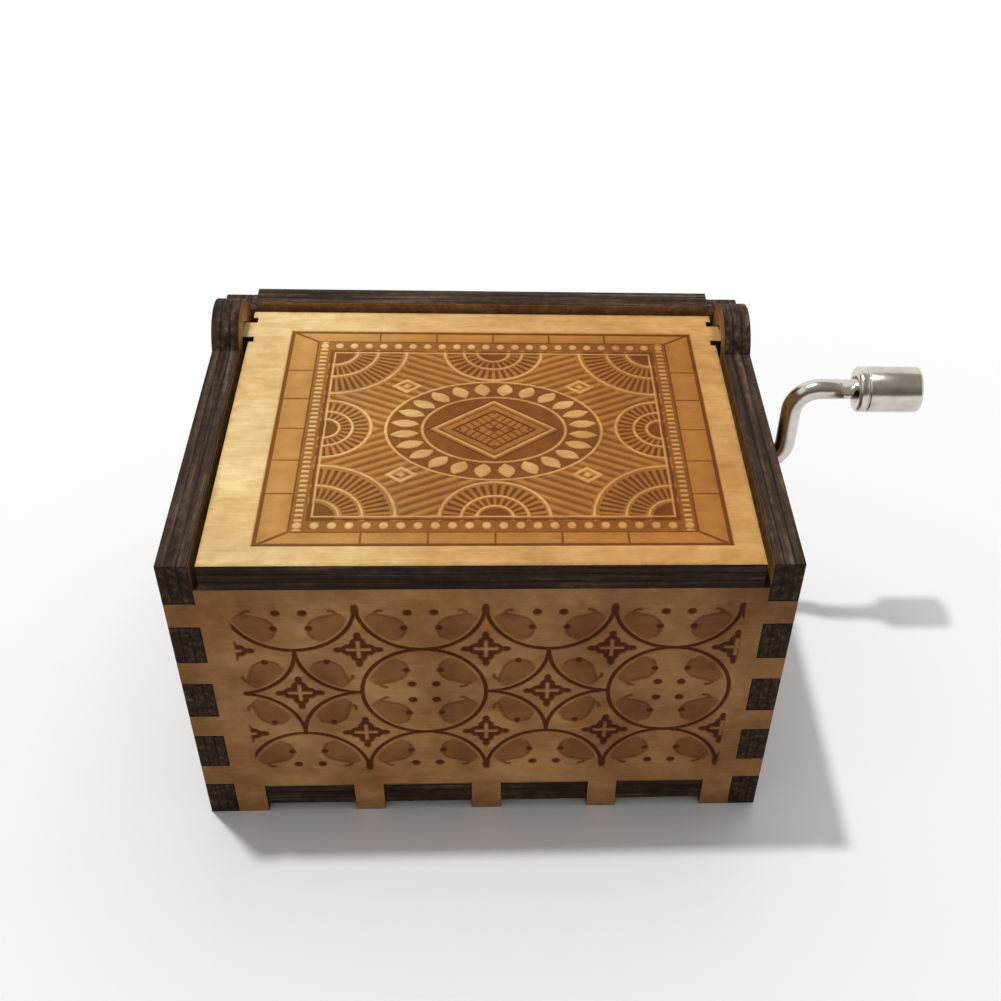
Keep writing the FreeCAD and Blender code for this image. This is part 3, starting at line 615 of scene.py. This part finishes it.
def engrave(mesh, axis, outward, field, engraving, spacing, depth, hole):
    """Cuts an engraving into the outward face: a fine grid over the field, joined to the face's rim."""
    hole_margin, fade_cells = 0.35, 3
    across, upright = [a for a in range(3) if a != axis]
    plane = max(v.co[axis] * outward for v in mesh.verts) * outward
    old = [f for f in mesh.faces if f.normal[axis] * outward > 0.999
           and abs(f.calc_center_median()[axis] - plane) < 1e-7]
    loops = loops_of([e for e in mesh.edges if sum(f in old for f in e.link_faces) == 1])
    bmesh.ops.delete(mesh, geom=old, context="FACES_KEEP_BOUNDARY")

    us, vs = [np.linspace(low, high, round((high - low) / spacing) + 1) for low, high in field]
    grid_u, grid_v = np.meshgrid(us, vs, indexing="ij")
    cut = np.clip(engraving(grid_u, grid_v), 0, 1) * depth
    cut[0, :] = cut[-1, :] = cut[:, 0] = cut[:, -1] = 0
    used = np.ones(grid_u.shape, bool)
    if hole:
        away = np.hypot(grid_u - hole[0], grid_v - hole[1]) - hole[2]
        used = away > hole_margin
        cut[away < hole_margin + fade_cells * spacing] = 0
    corners = np.zeros(grid_u.shape + (3,))
    corners[..., across] = (grid_u + (case_x if across == 0 else 0.0)) * MM
    corners[..., upright] = grid_v * MM
    corners[..., axis] = plane - outward * cut * MM
    verts = [[mesh.verts.new(corner) if keep else None for corner, keep in zip(row, kept)]
             for row, kept in zip(corners, used)]

    flip = (outward > 0) == (axis == 1)
    made = []
    for i in range(len(us) - 1):
        for j in range(len(vs) - 1):
            quad = [verts[i][j], verts[i + 1][j], verts[i + 1][j + 1], verts[i][j + 1]]
            if None not in quad:
                made.append(mesh.faces.new(quad[::-1] if flip else quad))
    for face in made:
        face.smooth = True
    loose = [v for row in verts for v in row if v and not v.link_faces]
    bmesh.ops.delete(mesh, geom=loose, context="VERTS")
    loops += loops_of([e for face in made for e in face.edges if len(e.link_faces) == 1])
    fill_between(mesh, loops, across, upright, flip)


def fill_between(mesh, loops, across, upright, flip):
    """Flat faces between the loops of one plane, odd-numbered areas filled."""
    order = [vert for loop in loops for vert in loop]
    flat = [Vector((v.co[across] / MM, v.co[upright] / MM)) for v in order]
    edges, start = [], 0
    for loop in loops:
        count = len(loop)
        edges += [(start + i, start + (i + 1) % count) for i in range(count)]
        start += count
    points, _, faces, origin, _, _ = delaunay_2d_cdt(flat, edges, [], 0, 1e-7)
    outlines = [np.array([(v.co[across] / MM, v.co[upright] / MM) for v in loop]) for loop in loops]
    middles = np.array([[sum(points[i][k] for i in face) / len(face) for k in (0, 1)] for face in faces])
    for face, keep in zip(faces, crosses(middles, outlines)):
        if keep:
            corners = [order[origin[i][0]] for i in face]
            turn = sum((points[a][0] * points[b][1] - points[b][0] * points[a][1])
                       for a, b in zip(face, list(face[1:]) + [face[0]]))
            if (turn < 0) != flip:
                corners.reverse()
            if len(set(corners)) == 3 and mesh.faces.get(corners) is None:
                mesh.faces.new(corners)


def finished(node, mesh, material):
    """Turns an edited mesh into a piece that rides on its body and stands for its CAD node."""
    data = bpy.data.meshes.new(node + "_dressed")
    mesh.to_mesh(data)
    mesh.free()
    placed(node, data, material)


def placed(node, data, material):
    """Puts a mesh in the scene as the dressed piece of a CAD node."""
    data.materials.clear()
    data.materials.append(material)
    piece = linked(node + "_dressed", data)
    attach(piece, home[node])
    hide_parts(node)


# -------- case


def rim_of(low_across, high_across, low_up, high_up, ear=None):
    """Distance in from a panel's outline, where its hinge ear counts as part of it."""
    def reach(a, b):
        edge = least(a - low_across, high_across - a, b - low_up, high_up - b)
        return most(edge, ear[2] - distance(a - ear[0], b - ear[1])) if ear else edge
    return reach


def side_trellis(y, z):
    return trellis(y, z, 19.2)


def build_case():
    """Six boards, each with its own browns for the engraving and its own tones; the lid's tones are painted
    light, paler at the left and darker at the right.
    """
    golden = ((0.0, tint(206, 160, 100)), (1.0, tint(96, 54, 16)), (0.4, tint(188, 134, 70)),
              (0.58, tint(161, 106, 46)), (0.78, tint(128, 78, 28)))
    russet = ((0.0, tint(198, 154, 100)), (1.0, tint(84, 42, 16)), (0.4, tint(168, 120, 74)),
              (0.58, tint(146, 96, 56)), (0.78, tint(116, 68, 34)))
    # The lid's gains are painted light: pale where the lamp falls at the left, warm in the middle, and a
    # darker amber for painted shade at the right.
    pale, warm, shaded_amber = gain(1.12, 1.22, 1.32), gain(0.95, 0.87, 0.78), gain(0.9, 0.77, 0.6)
    lid_painted_light_tones = ((0.2, pale), (0.74, shaded_amber), (0.4, warm), (0.6, warm))
    front_tones = ((0.0, gain(0.92, 0.7, 0.64)), (1.0, gain(0.86, 0.65, 0.6)),
                   (0.28, gain(1.2, 0.94, 0.85)), (0.6, gain(1.06, 0.81, 0.75)))
    back_tones = ((0.0, gain(0.96, 0.78, 0.69)), (1.0, gain(0.9, 0.73, 0.66)))
    grain_x, grain_y = 0, 1

    lid_rim = rim_of(-LID_HALF_WIDTH, LID_HALF_WIDTH, LID_FRONT, LID_BACK)
    wood = plywood("lid_birch_ply", 2, span_of("lid", 2), 1, grain_x, lid_rim, (0.5, 0.3), lid_engraving,
                   lid_painted_light_tones, 0.12, golden)
    panel("lid", 2, 1, wood, ((-23.6, 25.6), (-22.4, 17.4)), lid_engraving, 0.15, 0.22)

    # The pair after each top is a reach and a strength for smoke stain near the outline, which is also
    # painted shade under and above the lid's edges.
    for node, outward, top, smoke_and_shade, tones, cloudy, spacing in (
            ("front_panel", -1, FRONT_TOP, (4.5, 0.2), front_tones, 0.4, 0.15),
            ("back_panel", 1, BACK_TOP, (3.6, 0.6), back_tones, 0.35, 0.22)):
        rim = rim_of(-HALF_WIDTH, HALF_WIDTH, 0, top)
        wood = plywood(node.replace("panel", "birch_ply"), 1, span_of(node, 1), outward, grain_x, rim,
                       smoke_and_shade, trellis, tones, cloudy, russet)
        panel(node, 1, outward, wood, ((-27.5, 27.5), (6.2, 35.0)), trellis, spacing)

    # The sides' smoke reach and strength also paint shade at their tops, in the gap beside the lid.
    rim = rim_of(-HALF_DEPTH, HALF_DEPTH, 0, SIDE_TOP, (HINGE_Y, HINGE_Z, EAR_RADIUS))
    for node, outward, hole in (("left_panel", -1, None),
                                ("right_panel", 1, (shaft_y, shaft_z, CRANK_HOLE_RADIUS))):
        span = [a - case_x for a in span_of(node, 0)]
        wood = plywood(node.replace("panel", "birch_ply"), 0, span, outward, grain_y, rim, (3.4, 0.65),
                       side_trellis, back_tones, 0.35, russet)
        panel(node, 0, outward, wood, ((-20.4, 20.4), (6.2, 34.8)), side_trellis, hole=hole)
    panel("bottom_panel", 2, 1, plywood("floor_birch_ply", 2, span_of("bottom_panel", 2), 1))


# -------- crank


def nickel(name, brushed_axis=0):
    """Bright nickel plate with faint drawing marks."""
    plate = Finish(name)
    stretch = [1.0, 1.0, 1.0]
    stretch[brushed_axis] = 0.06
    along = plate.point((case_x, 0, 0), stretch)
    marks = plate.noise(along, 6.0, 3.0, 0.6)
    cloud = plate.noise(plate.point(), 0.5, 3.0)
    colour = plate.ramp(cloud, (0.3, tint(196, 191, 182)), (0.75, tint(222, 218, 210)))
    rough = 0.15 + marks * 0.1 + cloud * 0.06
    return plate.surface({"Base Color": colour, "Metallic": 1.0, "Roughness": rough}, marks, 0.004)


def wire_centre_line():
    """Points and directions round the wire's two bends."""
    arm_x, bend, step_degrees = case_x + 37.9, 3.2, 6
    turns = [(math.sin(math.radians(a)), math.cos(math.radians(a))) for a in range(0, 91, step_degrees)]
    lower = [((arm_x - bend + bend * s, shaft_y, shaft_z + bend - bend * c), (c, 0, s)) for s, c in turns]
    upper = [((arm_x + bend - bend * c, shaft_y, knob_z - bend + bend * s), (s, 0, c)) for s, c in turns]
    return lower + upper


def tube(mesh, rings):
    """Closed skin over rings of points, capped flat at both ends."""
    made = [[mesh.verts.new(Vector(p) * MM) for p in ring] for ring in rings]
    count = len(made[0])
    for ring, following in zip(made, made[1:]):
        for i in range(count):
            j = (i + 1) % count
            face = mesh.faces.new((ring[i], ring[j], following[j], following[i]))
            face.smooth = True
    mesh.faces.new(list(reversed(made[0])))
    mesh.faces.new(made[-1])


def ring_at(centre, direction, across, flat):
    """Oval ring square to a direction: its half width along Y, and its half height."""
    sides = 32
    cx, cy, cz = centre
    dx, _, dz = direction
    points = []
    for i in range(sides):
        a = 2 * math.pi * i / sides
        wide, tall = across * math.sin(a), flat * math.cos(a)
        points.append((cx - dz * tall, cy - wide, cz + dx * tall))
    return points


def build_crank_wire(plate):
    """Bent wire with a groove for the clip, lobes before the knob and a rivet head past it."""
    radius, chamfer, groove_depth = 1.25, 0.15, 0.3
    lobe_length, lobe_gap, lobe_steps, spread, pinch = 1.9, 0.25, 12, 0.45, 0.42
    low_x, end_x = span_of("crank_wire", 0)
    groove_start, groove_end = span_of("retaining_clip", 0)
    rings = []
    groove = radius - groove_depth
    for x, r in ((low_x, radius - chamfer), (low_x + chamfer, radius), (groove_start, radius),
                 (groove_start, groove), (groove_end, groove), (groove_end, radius)):
        rings.append(ring_at((x, shaft_y, shaft_z), (1, 0, 0), r, r))
    for centre, direction in wire_centre_line():
        rings.append(ring_at(centre, direction, radius, radius))
    lobe_start = span_of("crank_knob", 0)[0] - lobe_gap - lobe_length
    for step in range(lobe_steps + 1):
        swell = math.sin(math.pi * step / lobe_steps) ** 0.6
        place = (lobe_start + lobe_length * step / lobe_steps, shaft_y, knob_z)
        rings.append(ring_at(place, (1, 0, 0), radius + spread * swell, radius - pinch * swell))
    rivet_head = ((0.62, radius), (0.6, 1.55), (0.5, 1.75), (0.35, 1.8), (0.16, 1.6), (0.05, 1.15), (0, 0.5))
    for inset, r in rivet_head:
        rings.append(ring_at((end_x - inset, shaft_y, knob_z), (1, 0, 0), r, r))
    mesh = bmesh.new()
    tube(mesh, rings)
    finished("crank_wire", mesh, plate)


def turned(profile, axis, centre, sides=64):
    """Closed skin turned about a line along an axis, from a closed loop of (along, radius) points.

    The centre is where the line crosses the other two axes."""
    mesh = bmesh.new()
    others = [a for a in range(3) if a != axis]
    rings = []
    for along, radius in profile:
        ring = []
        for i in range(sides):
            angle = 2 * math.pi * i / sides
            place = [along, along, along]
            place[others[0]] = centre[0] + radius * math.sin(angle)
            place[others[1]] = centre[1] + radius * math.cos(angle)
            ring.append(mesh.verts.new(Vector(place) * MM))
        rings.append(ring)
    for ring, following in zip(rings, rings[1:] + rings[:1]):
        for i in range(sides):
            j = (i + 1) % sides
            mesh.faces.new((ring[i], ring[j], following[j], following[i])).smooth = True
    bmesh.ops.recalc_face_normals(mesh, faces=mesh.faces)
    return mesh


def build_crank_knob(plate):
    """Sleeve with a groove near its mouth and a recess for the rivet head."""
    start, end = span_of("crank_knob", 0)
    profile = [(start + x, r) for x, r in (
        (0.8, 1.31), (0.8, 1.6), (0.08, 1.6), (0, 1.68), (0, 2.4), (0.03, 2.52), (0.12, 2.66), (0.24, 2.76),
        (0.4, 2.8), (1.02, 2.8), (1.08, 2.76), (1.12, 2.64), (1.3, 2.64), (1.34, 2.76), (1.4, 2.8))]
    profile += [(end - x, r) for x, r in (
        (0.4, 2.8), (0.24, 2.77), (0.12, 2.68), (0.03, 2.54), (0, 2.4), (0, 2.04), (0.08, 1.96),
        (0.76, 1.96), (0.76, 1.31))]
    finished("crank_knob", turned(profile, 0, (shaft_y, knob_z)), plate)


# -------- movement


def metal(name, dark, light, rough, depth=0.01, scale=1.2, metallic=1.0, drawn=None):
    """Machined, cast or moulded stuff: cloudy colour, and a grain that breaks its shine."""
    part = Finish(name)
    stretch = [1.0, 1.0, 1.0]
    if drawn is not None:
        stretch[drawn] = 0.05
    cloud = part.noise(part.point((case_x, 0, 0)), scale, 4.0, 0.6)
    grit = part.noise(part.point((case_x, 0, 0), stretch), scale * 9, 2.0)
    colour = part.ramp(clamped(cloud * 0.7 + grit * 0.3), (0.3, tint(*dark)), (0.7, tint(*light)))
    roughness = rough + (grit - 0.5) * 0.25
    return part.surface({"Base Color": colour, "Metallic": metallic, "Roughness": roughness},
                        grit + cloud, depth)


def softened(node, material, ease):
    """CAD piece with its facets smoothed over and its edges eased by a width in millimetres."""
    mesh = merged(node)
    for face in mesh.faces:
        face.smooth = True
    data = bpy.data.meshes.new(node + "_blank")
    mesh.to_mesh(data)
    mesh.free()
    carrier = linked(node + "_blank", data)
    easing = carrier.modifiers.new("ease", "BEVEL")
    easing.width = ease * MM
    easing.segments = 2
    easing.limit_method = "ANGLE"
    easing.angle_limit = math.radians(SHARP)
    carrier.modifiers.new("flat_faces_first", "WEIGHTED_NORMAL")
    placed(node, worked_out(carrier), material)


def crisp(mesh, angle=SHARP):
    """Smooth faces, with a sharp line where two of them meet at a steep angle."""
    for face in mesh.faces:
        face.smooth = True
    for edge in mesh.edges:
        edge.smooth = len(edge.link_faces) == 2 and edge.calc_face_angle() < math.radians(angle)
    return mesh


def build_cylinder_sleeve(brass):
    """Rolled brass tube with the tune's pins pressed out of it."""
    front_y, rear_y = span_of("cylinder_sleeve", 1)
    radius, wall, edge, sink = 6.5, 0.6, 0.08, 0.2
    pins = Recipe("pressed_pins", {
        "Tune Pins": 28, "Bass Pins": 14, "Bass Notes": 6.0, "Tune Notes": 12.0,
        "Step Turn": math.radians(345 / 28), "Note Pitch": 1.0 * MM, "First Note": (front_y + 1.5) * MM,
        "Foot Radius": (radius - sink) * MM, "Pin Height": (0.7 + sink) * MM, "Pin Base": 0.38 * MM,
        "Pin Tip": 0.15 * MM})
    given = pins.given
    pin = pins.node("GeometryNodeMeshCone", {
        "Vertices": 10, "Radius Top": given["Pin Tip"], "Radius Bottom": given["Pin Base"],
        "Depth": given["Pin Height"]})
    index = pins.node("GeometryNodeInputIndex")
    tune = wrapped(index * 5 + pins.maths("FLOOR", index * index / 7), given["Tune Notes"])
    tune = given["Bass Notes"] + tune
    bass = wrapped(index + pins.maths("FLOOR", index / 4), given["Bass Notes"])
    rows = []
    for count, step, note in (("Tune Pins", index, tune), ("Bass Pins", index * 2, bass)):
        turn = step * given["Step Turn"]
        place = pins.vector(pins.maths("COSINE", turn) * given["Foot Radius"] + arbor_x * MM,
                            note * given["Note Pitch"] + given["First Note"],
                            arbor_z * MM - pins.maths("SINE", turn) * given["Foot Radius"])
        line = pins.node("GeometryNodeMeshLine", {"Count": given[count]})
        points = pins.node("GeometryNodeSetPosition", {"Geometry": line, "Position": place})
        rows.append(pins.node("GeometryNodeInstanceOnPoints", {
            "Points": points, "Instance": pin, "Scale": (1.0, 0.6, 1.0),
            "Rotation": pins.vector(0.0, turn + math.pi / 2, 0.0)}))
    both = pins.node("GeometryNodeJoinGeometry", {"Geometry": rows})
    inner = radius - wall
    mesh = turned([(front_y, inner), (front_y, radius - edge), (front_y + edge, radius),
                   (rear_y - edge, radius), (rear_y, radius - edge), (rear_y, inner)],
                  1, (arbor_x, arbor_z), 96)
    mesh.from_mesh(pins.mesh(both, brass))
    finished("cylinder_sleeve", crisp(mesh), brass)


def row_ends(span, radius):
    """First and last middle of a row of discs in a span, or the span's middle where one disc fills it."""
    low, high = span
    middle = (low + high) / 2
    return (low + radius, high - radius) if high - low > 2.1 * radius else (middle, middle)


def build_screws(node, material, count, radius, height, shank, heads_up=True):
    """Slotted cheese-head screws in a row, from corner to corner of their CAD node.

    The radius and height are the head's, and the shank is a radius."""
    slot_width, slot_depth = 0.28, 0.9
    left, right = row_ends(span_of(node, 0), radius)
    front, rear = row_ends(span_of(node, 1), radius)
    low, top = span_of(node, 2)
    seat, tip = top - height, low
    if not heads_up:
        front, rear = rear, front
        seat, tip = low + height, top
    first, last = (left, front, seat), (right, rear, seat)
    recipe = Recipe(node, {
        "Count": count, "Head Radius": radius * MM, "Head Height": height * MM, "Shank Radius": shank * MM,
        "Shank Length": abs(seat - tip) * MM, "Slot Width": radius * slot_width * MM,
        "Slot Depth": height * slot_depth * MM, "First": tuple(a * MM for a in first),
        "Spacing": tuple((b - a) / max(count - 1, 1) * MM for a, b in zip(first, last))})
    given = recipe.given
    barrel = recipe.node("GeometryNodeMeshCylinder", {
        "Vertices": 40, "Radius": given["Head Radius"], "Depth": given["Head Height"]})
    blade = recipe.node("GeometryNodeMeshCube", {
        "Size": recipe.vector(given["Head Radius"] * 3, given["Slot Width"], given["Slot Depth"])})
    slotted = recipe.node("GeometryNodeMeshBoolean", {
        "Mesh 1": recipe.moved(barrel, recipe.vector(z=given["Head Height"] * 0.5)),
        "Mesh 2": [recipe.moved(blade, recipe.vector(z=given["Head Height"]))]}, {"operation": "DIFFERENCE"})
    bar = recipe.node("GeometryNodeMeshCylinder", {
        "Vertices": 24, "Radius": given["Shank Radius"], "Depth": given["Shank Length"]})
    bar = recipe.moved(bar, recipe.vector(z=given["Shank Length"] * -0.5))
    screw = recipe.node("GeometryNodeJoinGeometry", {"Geometry": [slotted, bar]})
    line = recipe.node("GeometryNodeMeshLine", {
        "Count": given["Count"], "Start Location": given["First"], "Offset": given["Spacing"]})
    turn = (0.0, 0.0, 0.5) if heads_up else (math.pi, 0.0, 0.9)
    row = recipe.node("GeometryNodeInstanceOnPoints", {
        "Points": line, "Instance": screw, "Rotation": turn})
    mesh = bmesh.new()
    mesh.from_mesh(recipe.mesh(row, material))
    bmesh.ops.remove_doubles(mesh, verts=mesh.verts, dist=WELD * MM)
    ease_edges(mesh, 0.07, 40)
    finished(node, crisp(mesh, 24), material)


def build_crank_worm(nylon):
    """Right-hand worm between two collars, on the wire."""
    left, right = span_of("crank_worm", 0)
    lead, root, tip, bore = math.pi * 0.5, 1.78, 2.9, 1.27
    collar, collar_length, chamfer = 2.5, 1.2, 0.1
    foot_half, shoulder_half, crest_half, sink, rounding = 0.638, 0.21, 0.14, 0.15, 0.06
    inner_left, inner_right = left + collar_length, right - collar_length
    mesh = turned([(left, bore), (left, collar - chamfer), (left + chamfer, collar),
                   (inner_left - chamfer, collar), (inner_left, collar - chamfer), (inner_left, root),
                   (inner_right, root), (inner_right, collar - chamfer), (inner_right + chamfer, collar),
                   (right - chamfer, collar), (right, collar - chamfer), (right, bore)],
                  0, (shaft_y, shaft_z))
    flanks = ((root - sink, -foot_half), (tip - rounding, -shoulder_half), (tip, -crest_half),
              (tip, crest_half), (tip - rounding, shoulder_half), (root - sink, foot_half))
    rings = []
    for degrees in range(-720, 721, 10):
        angle = math.radians(degrees)
        middle = arbor_x + lead * degrees / 360
        rings.append([(middle + along, shaft_y + r * math.sin(angle), shaft_z - r * math.cos(angle))
                      for r, along in flanks])
    tube(mesh, rings)
    bmesh.ops.recalc_face_normals(mesh, faces=mesh.faces)
    finished("crank_worm", crisp(mesh), nylon)


def build_movement():
    zinc = metal("cast_zinc", (140, 141, 145), (182, 183, 187), 0.45, 0.05, 1.6)
    steel = metal("ground_comb_steel", (142, 145, 151), (184, 187, 193), 0.36, 0.004, drawn=1)
    arbor_steel = metal("arbor_steel", (158, 160, 166), (200, 202, 206), 0.22)
    spring_steel = metal("spring_steel", (112, 110, 108), (150, 148, 146), 0.35)
    zinc_plate = metal("bright_zinc_plate", (176, 172, 158), (212, 209, 198), 0.3)
    lead = metal("lead", (84, 86, 92), (124, 126, 132), 0.55, 0.03)
    film = metal("damper_film", (176, 164, 132), (208, 198, 168), 0.4, metallic=0.0)
    cap = metal("cap_plastic", (204, 198, 184), (226, 221, 210), 0.45, metallic=0.0)
    nylon = metal("gear_nylon", (220, 216, 204), (240, 237, 228), 0.4, metallic=0.0)
    brass = metal("rolled_brass", (190, 146, 70), (226, 186, 104), 0.24, 0.006, 0.8, drawn=1)
    screw_plate = metal("screw_plate", (166, 162, 146), (210, 206, 192), 0.28)

    for node, material, ease in (
            ("movement_bedplate", zinc, 0.22), ("cylinder_bearing_bracket", zinc_plate, 0.15),
            ("comb", steel, 0.04), ("comb_bass_weights", lead, 0.08), ("comb_dampers", film, 0.02),
            ("cylinder_front_cap", cap, 0.12), ("cylinder_rear_cap", cap, 0.12),
            ("cylinder_arbor", arbor_steel, 0.15), ("worm_wheel", nylon, 0.04),
            ("retaining_clip", spring_steel, 0.05)):
        softened(node, material, ease)
    build_cylinder_sleeve(brass)
    build_crank_worm(nylon)
    build_screws("comb_screws", screw_plate, count=2, radius=2.1, height=1.3, shank=1.2)
    build_screws("bracket_screw", screw_plate, count=1, radius=1.6, height=1.1, shank=0.9)
    build_screws("mounting_screws", screw_plate, count=2, radius=1.9, height=0.9, shank=1.0, heads_up=False)


# -------- stage


def stage_plane(name, half_width, centre, normal, material):
    """Square sheet of the studio, in metres."""
    data = bpy.data.meshes.new(name)
    h = half_width
    data.from_pydata([(-h, -h, 0), (h, -h, 0), (h, h, 0), (-h, h, 0)], [], [(0, 1, 2, 3)])
    data.transform(Vector(normal).to_track_quat("Z", "Y").to_matrix().to_4x4())
    data.transform(Matrix.Translation(Vector(centre)))
    data.materials.append(material)
    linked(name, data)


def seen_straight(wiring):
    """1 for rays from the camera, a mirror or a clear piece, and 0 for light that fills the room."""
    rays = [wiring.node("ShaderNodeLightPath", output="Is %s Ray" % kind)
            for kind in ("Camera", "Glossy", "Transmission")]
    return clamped(rays[0] + rays[1] + rays[2])


def build_floor():
    """White paper that takes shadows near the box and shines evenly farther out."""
    near, fade, near_share = 75, 100, 0.25
    paper = Finish("studio_paper")
    seen = seen_straight(paper)
    x, y, _ = paper.axes(paper.point((case_x, -10, 0)))
    far = clamped(near_share + (distance(x, y) - near) / fade)
    fibre = paper.noise(paper.point(), 0.02, 2.0)
    white = paper.ramp(fibre, (0.2, tint(251, 252, 254)), (0.8, tint(254, 254, 255)))
    colour = paper.mix(seen, gain(0.42, 0.42, 0.42), white)
    sheet = paper.node("ShaderNodeBsdfDiffuse", {"Color": colour})
    glow = paper.node("ShaderNodeEmission", {"Color": WHITE, "Strength": 1.0})
    paper.end(seen * far, sheet, glow)
    stage_plane("studio_floor", 3.0, (0, 0, 0), (0, 0, 1), paper.material)


def build_cards():
    """Dark cards that only mirrors see, so that bright metal has an edge to it."""
    card_height, half_width = 1700, 1.5
    card = Finish("dark_card")
    mirrored = card.node("ShaderNodeLightPath", output="Is Glossy Ray")
    height = card.axes(card.point())[2]
    shade = card.ramp(clamped(height / card_height), (0.0, gain(0.09, 0.075, 0.06)),
                      (1.0, gain(0.34, 0.32, 0.27)))
    dark = card.node("ShaderNodeEmission", {"Color": shade, "Strength": 1.0})
    card.end(mirrored, card.node("ShaderNodeBsdfTransparent"), dark)
    stage_plane("front_card", half_width, (0.3, -1.2, 1.57), (0, 1, 0), card.material)
    stage_plane("top_card", half_width, (0.3, -0.4, 1.7), (0, 0, -1), card.material)


def build_world():
    """White all round to the eye, and a dimmer even light on the box."""
    fill_strength = 0.31
    world = bpy.data.worlds.new("studio")
    bpy.context.scene.world = world
    world.use_nodes = True
    sky = Wiring(world.node_tree)
    fill, wall = [sky.node("ShaderNodeBackground", {"Color": WHITE, "Strength": strength})
                  for strength in (fill_strength, 1.0)]
    sky.end(seen_straight(sky), fill, wall, "ShaderNodeOutputWorld")


def add_lamp(name, x, y, z, size, power):
    """Round lamp at a place about the case, in millimetres, aimed at the case. Its size is in metres."""
    lamp = bpy.data.lights.new(name, "AREA")
    lamp.shape = "DISK"
    lamp.size = size
    lamp.energy = power
    piece = linked(name, lamp)
    piece.location = Vector((case_x + x, y, z)) * MM
    piece.rotation_mode = "QUATERNION"
    target = Vector((case_x, 0, 10)) * MM
    piece.rotation_quaternion = (target - piece.location).to_track_quat("-Z", "Y")
    return piece


def add_camera():
    """Camera in front of the box, above it and looking down."""
    data = bpy.data.cameras.new("view")
    data.sensor_width = 36.0
    data.lens = 46.71
    data.shift_x = -0.0745
    data.shift_y = 0.0650
    data.clip_start = 0.01
    data.clip_end = 20.0
    camera = linked("view", data)
    right = Vector((0.99762816, -0.05293399, 0.0440005))
    down = Vector((-0.00364643, -0.67897494, -0.73415239))
    look = Vector((0.06873685, 0.73225066, -0.67755754))
    turn = Matrix((right, -down, -look)).transposed()
    place = Vector((case_x - 0.004, -118.788, 125.733)) * MM
    camera.matrix_world = Matrix.Translation(place) @ turn.to_4x4()
    bpy.context.scene.camera = camera


build_case()
build_crank_wire(nickel("wire_nickel"))
build_crank_knob(nickel("knob_nickel", 1))
build_movement()
build_floor()
build_cards()
build_world()
add_lamp("key", -118, 72, 600, 0.03, 1.76)
fill = add_lamp("fill", 60, 150, 480, 0.45, 0.66)
fill.visible_glossy = False  # A mirror would show it as a bright band.
add_camera()
bpy.context.scene.view_settings.view_transform = "Standard"
